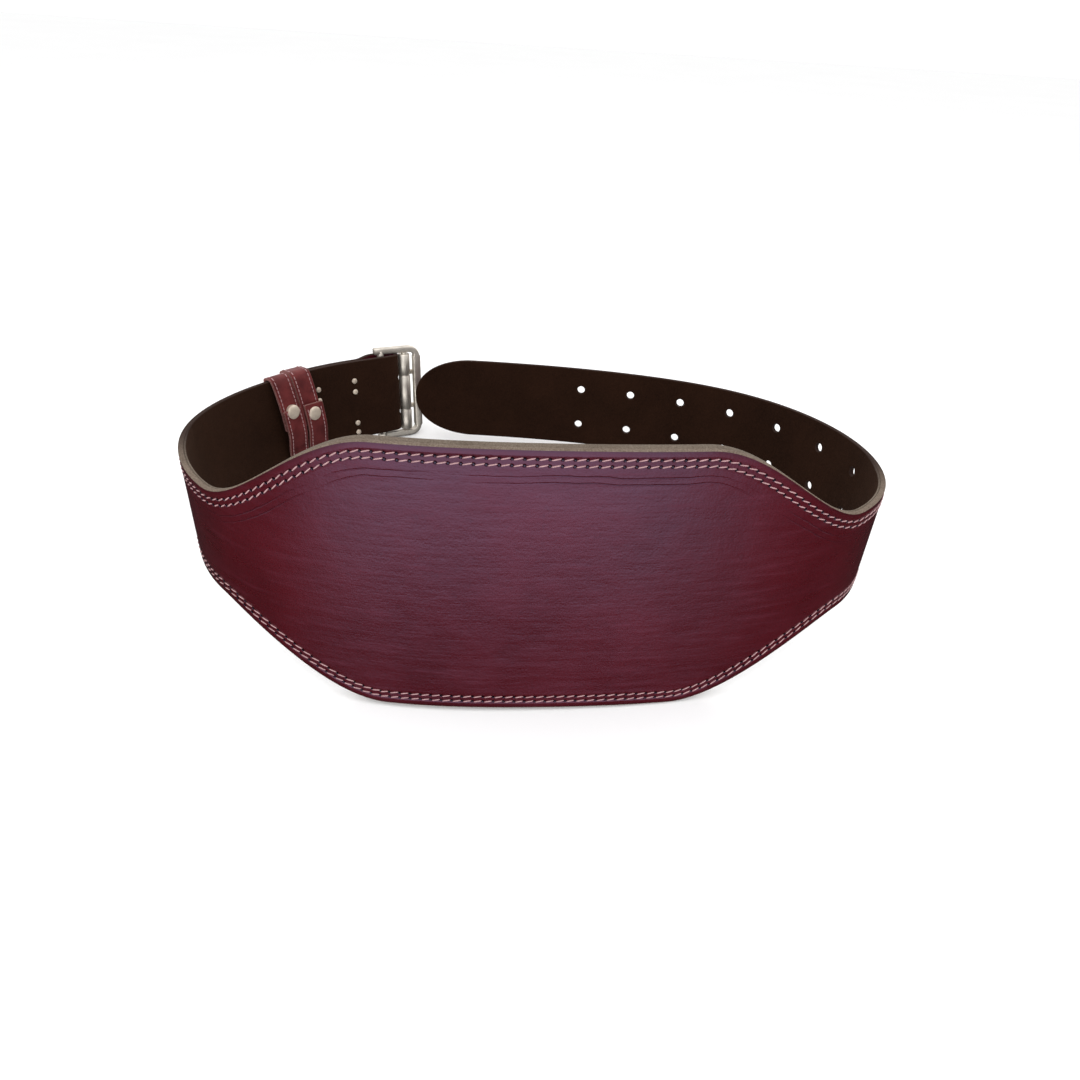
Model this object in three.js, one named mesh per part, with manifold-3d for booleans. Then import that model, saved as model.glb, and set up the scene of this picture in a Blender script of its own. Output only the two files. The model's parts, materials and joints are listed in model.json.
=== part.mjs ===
// Weightlifting belt: a leather strap that widens into a padded back panel,
// with a double-prong roller buckle folded into its left end, two keeper loops beside it,
// and two rows of holes towards the rounded tip at its right end.
//
// Millimetres, +Z up. The belt is worked out upright, in its own lengths: s runs along the
// outer face from the middle of the panel (plus to the tip, minus to the buckle), u runs from
// that face in towards the waist, z runs across the belt from its middle line.
// At the end the whole belt leans back until it rests as it would by itself on a table.

import * as THREE from 'three';
import { mergeVertices } from 'three/addons/utils/BufferGeometryUtils.js';
import Module from 'manifold-3d';

const wasm = await Module();
wasm.setup();

// Driving dimensions of the leather

const panelHeight = 152.4; // six inches across the back panel
const strapWidth = 63.5; // two and a half inches across the strap
const tipReach = 659.5; // from the middle of the panel to the tip's nose
const buckleReach = 464; // from the middle of the panel to the axis of the buckle's bar
const panelStraight = 77; // half the length that keeps the panel's full height
const panelTaper = 104; // length over which the panel narrows to the strap
const noseLength = 47; // length of the tip's rounded end
const noseFullness = 2.2; // 2 gives half an ellipse, more gives a blunter nose
const leatherWall = 3;
const paddedWall = 5; // suede lining with its padding, behind the panel
const paddingTaper = 115; // length over which the padding thins, beside the panel's full height
const liningWall = 1; // the same lining beyond its padding
const liningReach = 270; // from the middle of the panel to each end of the lining
const gap = 0.3; // between pieces that touch
const panelHeading = 5.7; // degrees that the middle of the panel is turned to the right

// Driving dimensions of the holes and rivets

const holeDiameter = 6;
const holeColumns = 7;
const holePitch = 40.4;
const holeRows = 29.4; // between the two rows, and between the two prongs
const lastHole = 136.5; // from the nose to the nearest column of holes
const rivetShank = 2.4;
const rivetHead = 4.2;
const rivetDome = 0.9;
const flapReach = 66; // from the buckle's bar to the end of the leather that is folded back
const swellFromBar = 6; // from the bar to where the flap starts to come down to the strap
const swellLength = 18; // length over which it comes down

// Places of the strap's rivets: along is a share of the flap's reach, heights are shares of
// half of the strap's width.

const rivetColumns = [
  { along: 0.42, heights: [0.52, 0.24, -0.58, -0.83] },
  { along: 0.91, heights: [0.49, 0.22, -0.58, -0.83] },
];

// Driving dimensions of the buckle

const barDiameter = 5.5;
const frameHeight = 77.2;
const frameDepth = 5.2;
const sideBar = 5;
const endBar = 6.5;
const windowLength = 27; // from the bar's axis to the end bar
const frameBack = 5.6; // from the bar's axis to the frame's open end
const frameCorner = 9;
const frameBevel = 1;
const buckleDrop = 1.5; // how much lower the buckle sits than the strap's middle line
const buckleTurn = 8; // degrees that the buckle is swung in towards the waist
const rollerDiameter = 9.5;
const rollerClear = 2.7; // between the roller and the end bar
const rollerEndClear = 1.2; // between each end of the roller and a side bar
const pinDiameter = 4;
const grooveWidth = 2.2;
const grooveDepth = 0.6;
const prongWidth = 5;
const prongThick = 3.6;
const prongPast = 1.9; // how far a prong's tip reaches past the end bar
const eyeWall = 2.2;
const slotLength = 8.5; // of a prong's slot, from the bar's axis back along the strap

// Driving dimensions of the keepers

const keeperWidth = 17.6;
const keeperWall = 1.8;
const keeperSlack = 0.6; // between a keeper and the strap's edges and outer face
const keeperStand = 1; // between a keeper and the suede at the strap's edges
const keeperBow = 3.2; // how far a keeper bows further out from the suede at its middle
const keeperCorner = 1.9;
const keeperLap = 14; // a keeper's upper end reaches half of this below its middle
const keeperApart = 0.5; // between the two keepers
const keeperPastFlap = 5.9; // from the flap's end to the middle of the keeper beside it
const keeperLean = 0.14; // how far a keeper leans along the strap for each step up
const keeperRivetShank = 3.6;
const keeperRivetHead = 10.4;
const keeperRivetDome = 1.6;
const keeperRivetBack = 0.8;

// The keepers in their order from the buckle. flapShift is a share of a keeper's width and
// rivetHeight a share of half of the strap's width.

const keeperPlaces = [
  { name: 'keeper_right', order: 0, flapShift: 0.09, rivetHeight: 0.06 },
  { name: 'keeper_left', order: 1, flapShift: 0, rivetHeight: 0.25 },
];

// How the two halves of the belt bend, from the middle of the panel outwards.
// at is a share of that half's reach, and turn is how many degrees the whole half would turn
// if it bent all along as it does there.

const tipBends = [
  { at: 0, turn: 33 },
  { at: 0.15, turn: 66 },
  { at: 0.24, turn: 329 },
  { at: 0.325, turn: 394 },
  { at: 0.41, turn: 300 },
  { at: 0.5, turn: 280 },
  { at: 0.6, turn: 272 },
  { at: 0.725, turn: 92 },
  { at: 1, turn: 21 },
];
const buckleBends = [
  { at: 0, turn: 23 },
  { at: 0.22, turn: 110 },
  { at: 0.35, turn: 254 },
  { at: 0.47, turn: 160 },
  { at: 0.59, turn: 246 },
  { at: 0.72, turn: 155 },
  { at: 0.86, turn: 108 },
  { at: 0.895, turn: 164 },
  { at: 0.94, turn: 164 },
  { at: 0.97, turn: 0 },
  { at: 1.1, turn: 0 },
];

// Sizes worked out from the driving dimensions

const panelHalf = panelHeight / 2;
const strapHalf = strapWidth / 2;
const layer = leatherWall + gap;
const rollerRadius = rollerDiameter / 2;
const rollerReach = windowLength - rollerClear - rollerRadius;
const swungIn = THREE.MathUtils.degToRad(buckleTurn);
const foldReach = rollerReach * Math.cos(swungIn) - rollerRadius - gap;
const eyeRadius = barDiameter / 2 + gap + eyeWall;
const barDepth = -eyeRadius - gap;
const overBar = barDepth - barDiameter / 2 - gap - leatherWall / 2;
const turnRadius = (leatherWall / 2 - overBar) / 2;
const turnDepth = leatherWall / 2 - turnRadius;
const turnReach = foldReach - turnRadius - leatherWall / 2;
const frameEnd = windowLength + endBar;
const stationStep = 9;
const roundSides = 12;

// Materials

function finish(color, roughness, metalness) {
  return new THREE.MeshStandardMaterial({ color, roughness, metalness });
}

const oxbloodLeather = finish(0x4a1420, 0.45, 0);
const brownSuede = finish(0x2b1a12, 0.95, 0);
const keeperLeather = finish(0x6e1c28, 0.5, 0);
const nickel = finish(0x9a958c, 0.35, 1);

// Small helpers

function smooth(share) {
  const t = THREE.MathUtils.clamp(share, 0, 1);
  return t * t * (3 - 2 * t);
}

function readTable(rows, at, column) {
  const next = rows.findIndex((row) => row.at >= at);
  if (next < 0) {
    return rows[rows.length - 1][column];
  }
  if (next === 0) {
    return rows[0][column];
  }
  const before = rows[next - 1];
  const after = rows[next];
  const share = (at - before.at) / (after.at - before.at);
  return THREE.MathUtils.lerp(before[column], after[column], share);
}

function evenSteps(from, to, step) {
  const count = Math.max(1, Math.round(Math.abs(to - from) / step));
  return Array.from({ length: count }, (_, i) => THREE.MathUtils.lerp(from, to, i / count));
}

function toSolid(geometry) {
  const bare = geometry.clone();
  bare.deleteAttribute('normal');
  bare.deleteAttribute('uv');
  const merged = mergeVertices(bare, 1e-4);
  const mesh = new wasm.Mesh({
    numProp: 3,
    vertProperties: Float32Array.from(merged.attributes.position.array),
    triVerts: Uint32Array.from(merged.index.array),
  });
  return new wasm.Manifold(mesh);
}

function toGeometry(solid) {
  const mesh = solid.getMesh();
  const geometry = new THREE.BufferGeometry();
  geometry.setAttribute('position', new THREE.BufferAttribute(mesh.vertProperties, 3));
  geometry.setIndex(new THREE.BufferAttribute(mesh.triVerts, 1));
  geometry.computeVertexNormals();
  return geometry;
}

function cutAway(solid, cutters) {
  return cutters.reduce((left, cutter) => left.subtract(toSolid(cutter)), solid);
}

function joinUp(geometries) {
  return geometries.map(toSolid).reduce((whole, next) => whole.add(next));
}

// The course of the belt's outer face, laid out in small steps to both sides of the panel's middle

const courseStep = 2;

function layHalf(bends, reach, direction) {
  const points = [{ x: 0, y: 0, heading: THREE.MathUtils.degToRad(panelHeading) }];
  const count = Math.ceil((reach * 1.1) / courseStep);
  for (let i = 0; i < count; i += 1) {
    const last = points[points.length - 1];
    const turn = readTable(bends, ((i + 0.5) * courseStep) / reach, 'turn');
    const bend = (direction * THREE.MathUtils.degToRad(turn) * courseStep) / reach;
    const middle = last.heading + bend / 2;
    points.push({
      x: last.x + direction * courseStep * Math.cos(middle),
      y: last.y + direction * courseStep * Math.sin(middle),
      heading: last.heading + bend,
    });
  }
  return points;
}

const tipHalf = layHalf(tipBends, tipReach, 1);
const buckleHalf = layHalf(buckleBends, buckleReach, -1);

function coursePoint(s) {
  const half = s >= 0 ? tipHalf : buckleHalf;
  const place = Math.abs(s) / courseStep;
  const first = Math.min(Math.floor(place), half.length - 2);
  const share = place - first;
  const a = half[first];
  const b = half[first + 1];
  return {
    x: THREE.MathUtils.lerp(a.x, b.x, share),
    y: THREE.MathUtils.lerp(a.y, b.y, share),
    heading: THREE.MathUtils.lerp(a.heading, b.heading, share),
  };
}

function beltPoint(s, u) {
  const { x, y, heading } = coursePoint(s);
  return new THREE.Vector2(x - u * Math.sin(heading), y + u * Math.cos(heading));
}

// A matrix that sets a piece on the belt: its X runs along the belt towards the tip,
// its Y in towards the waist and its Z across the belt.

function beltFrame(s, u, z) {
  const place = beltPoint(s, u);
  const turn = new THREE.Matrix4().makeRotationZ(coursePoint(s).heading);
  return turn.setPosition(place.x, place.y, z);
}

// Outline of the belt laid flat: half of its height at each place along it

function halfHeight(s) {
  const beyond = tipReach - s;
  if (beyond < noseLength) {
    const across = 1 - beyond / noseLength;
    return strapHalf * Math.pow(1 - across * across, 1 / noseFullness);
  }
  const narrowing = smooth((Math.abs(s) - panelStraight) / panelTaper);
  return THREE.MathUtils.lerp(panelHalf, strapHalf, narrowing);
}

// Places along the belt at which its sections are taken, from the nose to the middle of a fold

const noseAngles = [83, 76, 66, 54, 42, 28, 14];

function mainStations(end) {
  const nose = noseAngles.map((angle) => {
    const share = Math.sin(THREE.MathUtils.degToRad(angle));
    return tipReach - noseLength * (1 - share);
  });
  return [...nose, ...evenSteps(tipReach - noseLength, end, stationStep)];
}

// A band with two sides and a height at each station: a box of many segments, bent to shape

function bentBand(stations) {
  const segments = stations.length - 1;
  const geometry = new THREE.BoxGeometry(1, 1, 1, segments, 1, 1);
  const position = geometry.attributes.position;
  for (let i = 0; i < position.count; i += 1) {
    const station = stations[Math.round((0.5 - position.getX(i)) * segments)];
    const side = position.getY(i) > 0 ? station.inner : station.outer;
    const z = position.getZ(i) > 0 ? station.half : -station.half;
    position.setXYZ(i, side.x, side.y, z);
  }
  return geometry;
}

// Stations of a wall of one thickness along a middle line, with its inner side towards the waist

function wallStations(line, wall) {
  return line.map((here, i) => {
    const before = line[Math.max(i - 1, 0)].point;
    const after = line[Math.min(i + 1, line.length - 1)].point;
    const along = new THREE.Vector2().subVectors(before, after).normalize();
    const across = new THREE.Vector2(-along.y, along.x).multiplyScalar(wall / 2);
    return {
      inner: new THREE.Vector2().addVectors(here.point, across),
      outer: new THREE.Vector2().subVectors(here.point, across),
      half: here.half,
    };
  });
}

// The strap runs to the buckle, turns outwards round the buckle's bar and runs back as a flap
// on its own outer face. The flap swells over the bar and lies flat from the first rivets on.

const turnSteps = 10;

function flapDepth(fromBar) {
  const swollen = smooth((swellFromBar + swellLength - fromBar) / swellLength);
  return THREE.MathUtils.lerp(leatherWall / 2 - layer, overBar, swollen);
}

// How far out the leather's outer face lies at a place on the strap, flap included

function outerFace(fromBar) {
  return fromBar < flapReach ? flapDepth(fromBar) - leatherWall / 2 : 0;
}

function leatherLine() {
  const bendAt = -buckleReach - turnReach;
  const line = mainStations(bendAt).map((s) => ({
    point: beltPoint(s, leatherWall / 2),
    half: halfHeight(s),
  }));
  for (let i = 0; i <= turnSteps; i += 1) {
    const angle = (Math.PI * i) / turnSteps;
    const s = bendAt - turnRadius * Math.sin(angle);
    const u = turnDepth + turnRadius * Math.cos(angle);
    line.push({ point: beltPoint(s, u), half: strapHalf });
  }
  const swellEnd = swellFromBar + swellLength;
  const flap = [
    ...evenSteps(-turnReach, swellFromBar, stationStep).slice(1),
    ...evenSteps(swellFromBar, swellEnd, swellLength / 6),
    ...evenSteps(swellEnd, flapReach, stationStep),
    flapReach,
  ];
  for (const fromBar of flap) {
    line.push({ point: beltPoint(fromBar - buckleReach, flapDepth(fromBar)), half: strapHalf });
  }
  return line;
}

// The suede lining follows the panel's inner side. Its padding thins out beside the panel.

function liningStations() {
  const edges = [-1, 1].map((side) => side * liningReach);
  return [...evenSteps(edges[1], edges[0], stationStep), edges[0]].map((s) => {
    const padding = 1 - smooth((Math.abs(s) - panelStraight) / paddingTaper);
    const wall = THREE.MathUtils.lerp(liningWall, paddedWall, padding);
    return {
      outer: beltPoint(s, layer),
      inner: beltPoint(s, layer + wall),
      half: halfHeight(s),
    };
  });
}

// Cutters for round holes through the leather, and for the slots that the prongs come through.
// A slot runs round the fold and into the flap, and leaves the suede face whole.

function holeCutter(diameter, s, z) {
  const length = 4 * layer;
  const cutter = new THREE.CylinderGeometry(diameter / 2, diameter / 2, length, roundSides);
  return cutter.applyMatrix4(beltFrame(s, 0, z));
}

function prongHoles() {
  const cutters = [];
  for (let column = 0; column < holeColumns; column += 1) {
    const s = tipReach - lastHole - column * holePitch;
    cutters.push(holeCutter(holeDiameter, s, holeRows / 2));
    cutters.push(holeCutter(holeDiameter, s, -holeRows / 2));
  }
  return cutters;
}

function rivetPlaces() {
  return rivetColumns.flatMap(({ along, heights }) =>
    heights.map((height) => ({ s: along * flapReach - buckleReach, z: height * strapHalf })),
  );
}

function rivetHoles() {
  return rivetPlaces().map(({ s, z }) => holeCutter(rivetShank + 2 * gap, s, z));
}

function prongSlots() {
  const slotWidth = prongWidth + 4 * gap;
  const length = slotLength + foldReach + leatherWall;
  const top = -gap / 3;
  const bottom = overBar - leatherWall;
  return [1, -1].map((side) => {
    const cutter = new THREE.BoxGeometry(length, top - bottom, slotWidth);
    cutter.translate(slotLength - length / 2, (top + bottom) / 2, 0);
    return cutter.applyMatrix4(beltFrame(-buckleReach, 0, (side * holeRows) / 2 - buckleDrop));
  });
}

// Rivets: a domed head on the inner side, a shank through two layers and a head on the outer side.
// The geometry's Y runs in towards the waist.

function rivetGeometry({ shank, head, dome, back, inner, outer }) {
  const shoulder = 0.35;
  const crown = { width: 0.7, rise: 0.9 };
  const profile = [
    new THREE.Vector2(0, outer - gap - back),
    new THREE.Vector2(head / 2, outer - gap - back),
    new THREE.Vector2(head / 2, outer - gap),
    new THREE.Vector2(shank / 2, outer - gap),
    new THREE.Vector2(shank / 2, inner + gap),
    new THREE.Vector2(head / 2, inner + gap),
    new THREE.Vector2(head / 2, inner + gap + dome * shoulder),
    new THREE.Vector2((head / 2) * crown.width, inner + gap + dome * crown.rise),
    new THREE.Vector2(0, inner + gap + dome),
  ];
  return new THREE.LatheGeometry(profile, roundSides);
}

function makeStrapRivets() {
  const geometry = rivetGeometry({
    shank: rivetShank,
    head: rivetHead,
    dome: rivetDome,
    back: rivetDome,
    inner: leatherWall,
    outer: -layer,
  });
  return rivetPlaces().map(({ s, z }, i) => {
    const placed = geometry.clone().applyMatrix4(beltFrame(s, 0, z));
    return namedMesh(`strap_rivet_${i + 1}`, placed, nickel);
  });
}

// Keepers: a strip of leather bent round the strap and bowed away from the suede, to let the
// tip through. Its two ends lap there, where one rivet holds them. The end that laps over
// comes up from below and lies a little nearer to the buckle than the end under it.

const keeperHalf = strapHalf + keeperSlack;
const keeperTop = keeperHalf + keeperWall / 2;

function keeperNear(z) {
  const share = z / keeperTop;
  return leatherWall + keeperStand + keeperBow * (1 - share * share) + keeperWall / 2;
}

function keeperFromBar(keeper) {
  return flapReach + keeperPastFlap + keeper.order * (keeperWidth + keeperApart);
}

function keeperFar(keeper) {
  const halfWidth = keeperWidth / 2 + keeper.flapShift * keeperWidth;
  const nearEdge = keeperFromBar(keeper) - halfWidth - keeperLean * strapHalf;
  const overRivets = nearEdge < flapReach ? gap + rivetDome : 0;
  return outerFace(nearEdge) - overRivets - keeperSlack - keeperWall / 2;
}

function keeperPath(keeper) {
  const near = keeperNear(keeperTop);
  const far = keeperFar(keeper);
  const shift = keeperWall + gap;
  const corners = [
    { u: near - keeperCorner, z: keeperTop - keeperCorner },
    { u: far + keeperCorner, z: keeperTop - keeperCorner },
    { u: far + keeperCorner, z: keeperCorner - keeperTop },
    { u: near - keeperCorner, z: keeperCorner - keeperTop },
  ];
  const path = [-0.5, 0, 0.5, 1, 1.5, 1.9].map((share) => {
    const z = share * keeperLap;
    return new THREE.Vector2(keeperNear(z), z);
  });
  for (const [quarter, corner] of corners.entries()) {
    for (const share of [0, 1 / 3, 2 / 3, 1]) {
      const angle = ((quarter + share) * Math.PI) / 2;
      const u = corner.u + keeperCorner * Math.cos(angle);
      path.push(new THREE.Vector2(u, corner.z + keeperCorner * Math.sin(angle)));
    }
  }
  for (const share of [-1.8, -1.5, -1.2, -0.9, -0.6, 0, 0.7]) {
    const z = share * keeperLap;
    path.push(new THREE.Vector2(keeperNear(z) + shift * smooth((share + 1.8) / 1.2), z));
  }
  return path;
}

// The two sides of a strip of one thickness along a path

function stripSides(path, wall) {
  return path.map((here, i) => {
    const before = path[Math.max(i - 1, 0)];
    const after = path[Math.min(i + 1, path.length - 1)];
    const along = new THREE.Vector2().subVectors(after, before).normalize();
    const across = new THREE.Vector2(-along.y, along.x).multiplyScalar(wall / 2);
    return {
      left: new THREE.Vector2().addVectors(here, across),
      right: new THREE.Vector2().subVectors(here, across),
    };
  });
}

// Bends a box of many segments to a keeper's strip, which follows the strap's own curve.

function keeperStrip(keeper) {
  const sides = stripSides(keeperPath(keeper), keeperWall);
  const segments = sides.length - 1;
  const geometry = new THREE.BoxGeometry(1, 1, 1, segments, 1, 2);
  const position = geometry.attributes.position;
  for (let i = 0; i < position.count; i += 1) {
    const station = Math.round((position.getX(i) + 0.5) * segments);
    const side = position.getY(i) > 0 ? sides[station].left : sides[station].right;
    const flap = smooth((station / segments - 0.5) * 2);
    const across = (position.getZ(i) - keeper.flapShift * flap) * keeperWidth;
    const along = keeperLean * side.y + across;
    const point = beltPoint(along + keeperFromBar(keeper) - buckleReach, side.x);
    position.setXYZ(i, point.x, point.y, side.y);
  }
  return geometry;
}

function keeperRivetPlace(keeper) {
  const z = keeper.rivetHeight * strapHalf;
  const along = keeperLean * z - (keeper.flapShift * keeperWidth) / 2;
  const underSide = keeperNear(z) - keeperWall / 2;
  const tilt = Math.atan((2 * keeperBow * z) / (keeperTop * keeperTop));
  const place = beltFrame(along + keeperFromBar(keeper) - buckleReach, underSide, z);
  return place.multiply(new THREE.Matrix4().makeRotationX(tilt));
}

function makeKeeper(keeper) {
  const diameter = keeperRivetShank + 2 * gap;
  const hole = new THREE.CylinderGeometry(diameter / 2, diameter / 2, 6 * keeperWall, roundSides);
  hole.applyMatrix4(keeperRivetPlace(keeper));
  const pierced = cutAway(toSolid(keeperStrip(keeper)), [hole]);
  return namedMesh(keeper.name, toGeometry(pierced), keeperLeather);
}

function makeKeeperRivet(keeper) {
  const geometry = rivetGeometry({
    shank: keeperRivetShank,
    head: keeperRivetHead,
    dome: keeperRivetDome,
    back: keeperRivetBack,
    inner: 2 * keeperWall + gap,
    outer: 0,
  });
  geometry.applyMatrix4(keeperRivetPlace(keeper));
  return namedMesh(keeper.name.replace('keeper', 'keeper_rivet'), geometry, nickel);
}

// Buckle: drawn with its bar's axis as Z, X towards its end bar and Y out from the waist

function roundRod(diameter, length, x) {
  const rod = new THREE.CylinderGeometry(diameter / 2, diameter / 2, length, roundSides);
  return rod.rotateX(Math.PI / 2).translate(x, 0, 0);
}

function frameOutline() {
  const half = frameHeight / 2;
  const back = -frameBack;
  const inner = half - sideBar;
  const outline = new THREE.Shape();
  outline.moveTo(back, -half);
  outline.lineTo(frameEnd - frameCorner, -half);
  outline.absarc(frameEnd - frameCorner, -half + frameCorner, frameCorner, -Math.PI / 2, 0, false);
  outline.absarc(frameEnd - frameCorner, half - frameCorner, frameCorner, 0, Math.PI / 2, false);
  outline.lineTo(back, half);
  outline.lineTo(back, inner);
  const insideCorner = frameCorner - sideBar;
  outline.lineTo(windowLength - insideCorner, inner);
  outline.absarc(windowLength - insideCorner, inner - insideCorner, insideCorner, Math.PI / 2, 0, true);
  outline.absarc(windowLength - insideCorner, insideCorner - inner, insideCorner, 0, -Math.PI / 2, true);
  outline.lineTo(back, -inner);
  return outline;
}

function makeBuckleFrame() {
  const plate = new THREE.ExtrudeGeometry(frameOutline(), {
    depth: frameDepth - 2 * frameBevel,
    bevelEnabled: true,
    bevelThickness: frameBevel,
    bevelSize: frameBevel,
    bevelOffset: -frameBevel,
    bevelSegments: 1,
    curveSegments: 5,
  });
  plate.translate(0, 0, frameBevel - frameDepth / 2);
  plate.rotateX(Math.PI / 2);
  const rodLength = frameHeight - sideBar;
  const bar = roundRod(barDiameter, rodLength, 0);
  const pin = roundRod(pinDiameter, rodLength, rollerReach);
  return namedMesh('buckle_frame', toGeometry(joinUp([plate, bar, pin])), nickel);
}

// The roller turns on the pin and has a shallow groove under each prong.

function makeRoller() {
  const half = frameHeight / 2 - sideBar - rollerEndClear;
  const bore = pinDiameter / 2 + gap;
  const groove = (side) => {
    const z = (side * holeRows) / 2;
    const lip = (side * grooveWidth) / 2;
    const floor = rollerRadius - grooveDepth;
    return [
      new THREE.Vector2(rollerRadius, z - Math.abs(lip)),
      new THREE.Vector2(floor, z - Math.abs(lip) + grooveDepth),
      new THREE.Vector2(floor, z + Math.abs(lip) - grooveDepth),
      new THREE.Vector2(rollerRadius, z + Math.abs(lip)),
    ];
  };
  const profile = [
    new THREE.Vector2(bore, -half),
    new THREE.Vector2(rollerRadius, -half),
    ...groove(-1),
    ...groove(1),
    new THREE.Vector2(rollerRadius, half),
    new THREE.Vector2(bore, half),
    new THREE.Vector2(bore, -half),
  ];
  const roller = new THREE.LatheGeometry(profile, roundSides + 4);
  roller.rotateX(Math.PI / 2);
  const mesh = namedMesh('buckle_roller', roller, nickel);
  mesh.position.set(rollerReach, 0, 0);
  return mesh;
}

// A prong's eye turns on the bar. Its shank lies over the roller and its tip past the end bar.

function prongLine() {
  const overRoller = rollerRadius + gap + prongThick / 2;
  const overEnd = frameDepth / 2 + gap + prongThick / 2;
  const eyeTop = eyeRadius - prongThick / 2;
  return new THREE.CatmullRomCurve3([
    new THREE.Vector3(0, eyeTop, 0),
    new THREE.Vector3(rollerReach * 0.18, eyeTop, 0),
    new THREE.Vector3(rollerReach * 0.6, overRoller * 0.94, 0),
    new THREE.Vector3(rollerReach, overRoller, 0),
    new THREE.Vector3(frameEnd - endBar / 2, (overRoller + overEnd) / 2 + gap, 0),
    new THREE.Vector3(frameEnd + prongPast, overEnd, 0),
  ]);
}

function makeProng(name, side) {
  const tipShare = 0.55;
  const points = prongLine().getSpacedPoints(12).map((point) => new THREE.Vector2(point.x, point.y));
  const sides = stripSides(points, prongThick);
  const outline = [...sides.map((side) => side.right), ...sides.map((side) => side.left).reverse()];
  const shank = new THREE.ExtrudeGeometry(new THREE.Shape(outline), {
    depth: prongWidth,
    bevelEnabled: false,
  });
  shank.translate(0, 0, -prongWidth / 2);
  taperTip(shank, tipShare);
  const eye = roundRod(2 * eyeRadius, prongWidth, 0);
  const bore = roundRod(barDiameter + 2 * gap, 2 * prongWidth, 0);
  const solid = joinUp([shank, eye]).subtract(toSolid(bore));
  const mesh = namedMesh(name, toGeometry(solid), nickel);
  mesh.position.set(0, 0, (side * holeRows) / 2);
  return mesh;
}

// Draws a prong's end in to a narrower tip.

function taperTip(geometry, tipShare) {
  const position = geometry.attributes.position;
  for (let i = 0; i < position.count; i += 1) {
    const along = (position.getX(i) - rollerReach) / (frameEnd + prongPast - rollerReach);
    const share = THREE.MathUtils.lerp(1, tipShare, THREE.MathUtils.clamp(along, 0, 1));
    position.setZ(i, position.getZ(i) * share);
  }
}

// Assembly

function namedMesh(name, geometry, material) {
  const mesh = new THREE.Mesh(geometry, material);
  mesh.name = name;
  return mesh;
}

function makeLeather() {
  const band = toSolid(bentBand(wallStations(leatherLine(), leatherWall)));
  const cut = cutAway(band, [...prongHoles(), ...rivetHoles(), ...prongSlots()]);
  return namedMesh('belt_leather', toGeometry(cut), oxbloodLeather);
}

function makeLining() {
  const band = toSolid(bentBand(liningStations()));
  return namedMesh('suede_lining', toGeometry(band), brownSuede);
}

function makeBuckle() {
  const buckle = new THREE.Group();
  buckle.add(makeBuckleFrame());
  buckle.add(makeRoller());
  buckle.add(makeProng('prong_upper', 1));
  buckle.add(makeProng('prong_lower', -1));
  const place = beltPoint(-buckleReach, barDepth);
  buckle.position.set(place.x, place.y, -buckleDrop);
  buckle.rotation.z = coursePoint(-buckleReach).heading + Math.PI - swungIn;
  return buckle;
}

function makeBelt() {
  const belt = new THREE.Group();
  belt.add(makeLeather());
  belt.add(makeLining());
  belt.add(...makeStrapRivets());
  belt.add(...keeperPlaces.map(makeKeeper));
  belt.add(...keeperPlaces.map(makeKeeperRivet));
  belt.add(makeBuckle());
  return belt;
}

// Rest: the belt leans back about X until the panel's lower edge and the lowest corner on the
// far side of the waist lie at one level.

function cornersOf(group) {
  const corners = [];
  group.updateMatrixWorld(true);
  group.traverse((piece) => {
    if (!piece.isMesh) {
      return;
    }
    const position = piece.geometry.attributes.position;
    for (let i = 0; i < position.count; i += 1) {
      corners.push(new THREE.Vector3().fromBufferAttribute(position, i).applyMatrix4(piece.matrixWorld));
    }
  });
  return corners;
}

function restAngle(corners) {
  const halfDepth = Math.max(...corners.map((corner) => corner.y)) / 2;
  const front = corners.filter((corner) => corner.y < halfDepth);
  const back = corners.filter((corner) => corner.y >= halfDepth);
  const lowest = (points, angle) =>
    Math.min(...points.map((point) => point.z * Math.cos(angle) + point.y * Math.sin(angle)));
  let low = -Math.PI / 6;
  let high = 0;
  for (let i = 0; i < 40; i += 1) {
    const middle = (low + high) / 2;
    if (lowest(front, middle) < lowest(back, middle)) {
      high = middle;
    } else {
      low = middle;
    }
  }
  return (low + high) / 2;
}

const belt = makeBelt();
belt.rotation.x = restAngle(cornersOf(belt));

const whole = new THREE.Group();
whole.add(belt);
const box = new THREE.Box3().setFromPoints(cornersOf(whole));
const middle = box.getCenter(new THREE.Vector3());
belt.position.set(-middle.x, -middle.y, -box.min.z);

export default whole;
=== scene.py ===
# %% [markdown]
# # A padded leather lifting belt
# The belt is one long piece of thick leather that widens into a back panel. Behind the panel lies
# a suede lining with foam in it, two rows of thread run along both of its edges, and a roller
# buckle is folded into the left end. The belt stands on its edges, unfastened.
#
# The solids of the belt come in first, as a frame. Every piece made here goes where its solid is.

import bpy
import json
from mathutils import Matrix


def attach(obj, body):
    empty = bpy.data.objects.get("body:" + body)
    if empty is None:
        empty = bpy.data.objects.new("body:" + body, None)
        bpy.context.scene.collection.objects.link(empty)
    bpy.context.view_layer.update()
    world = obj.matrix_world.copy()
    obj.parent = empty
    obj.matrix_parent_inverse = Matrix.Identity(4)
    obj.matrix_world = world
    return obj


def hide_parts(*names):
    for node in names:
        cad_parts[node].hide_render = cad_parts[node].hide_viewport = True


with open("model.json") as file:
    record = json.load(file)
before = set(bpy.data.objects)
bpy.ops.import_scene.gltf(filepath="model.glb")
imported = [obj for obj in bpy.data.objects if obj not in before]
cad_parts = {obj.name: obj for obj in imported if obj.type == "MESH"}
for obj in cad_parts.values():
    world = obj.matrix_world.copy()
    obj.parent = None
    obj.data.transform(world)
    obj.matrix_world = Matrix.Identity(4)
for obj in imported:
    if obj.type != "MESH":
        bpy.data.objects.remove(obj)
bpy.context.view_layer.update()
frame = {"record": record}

# %% Tools
import json
import math

import bmesh
import bpy
import numpy as np
from mathutils import Matrix, Vector
from mathutils.geometry import delaunay_2d_cdt

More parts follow.
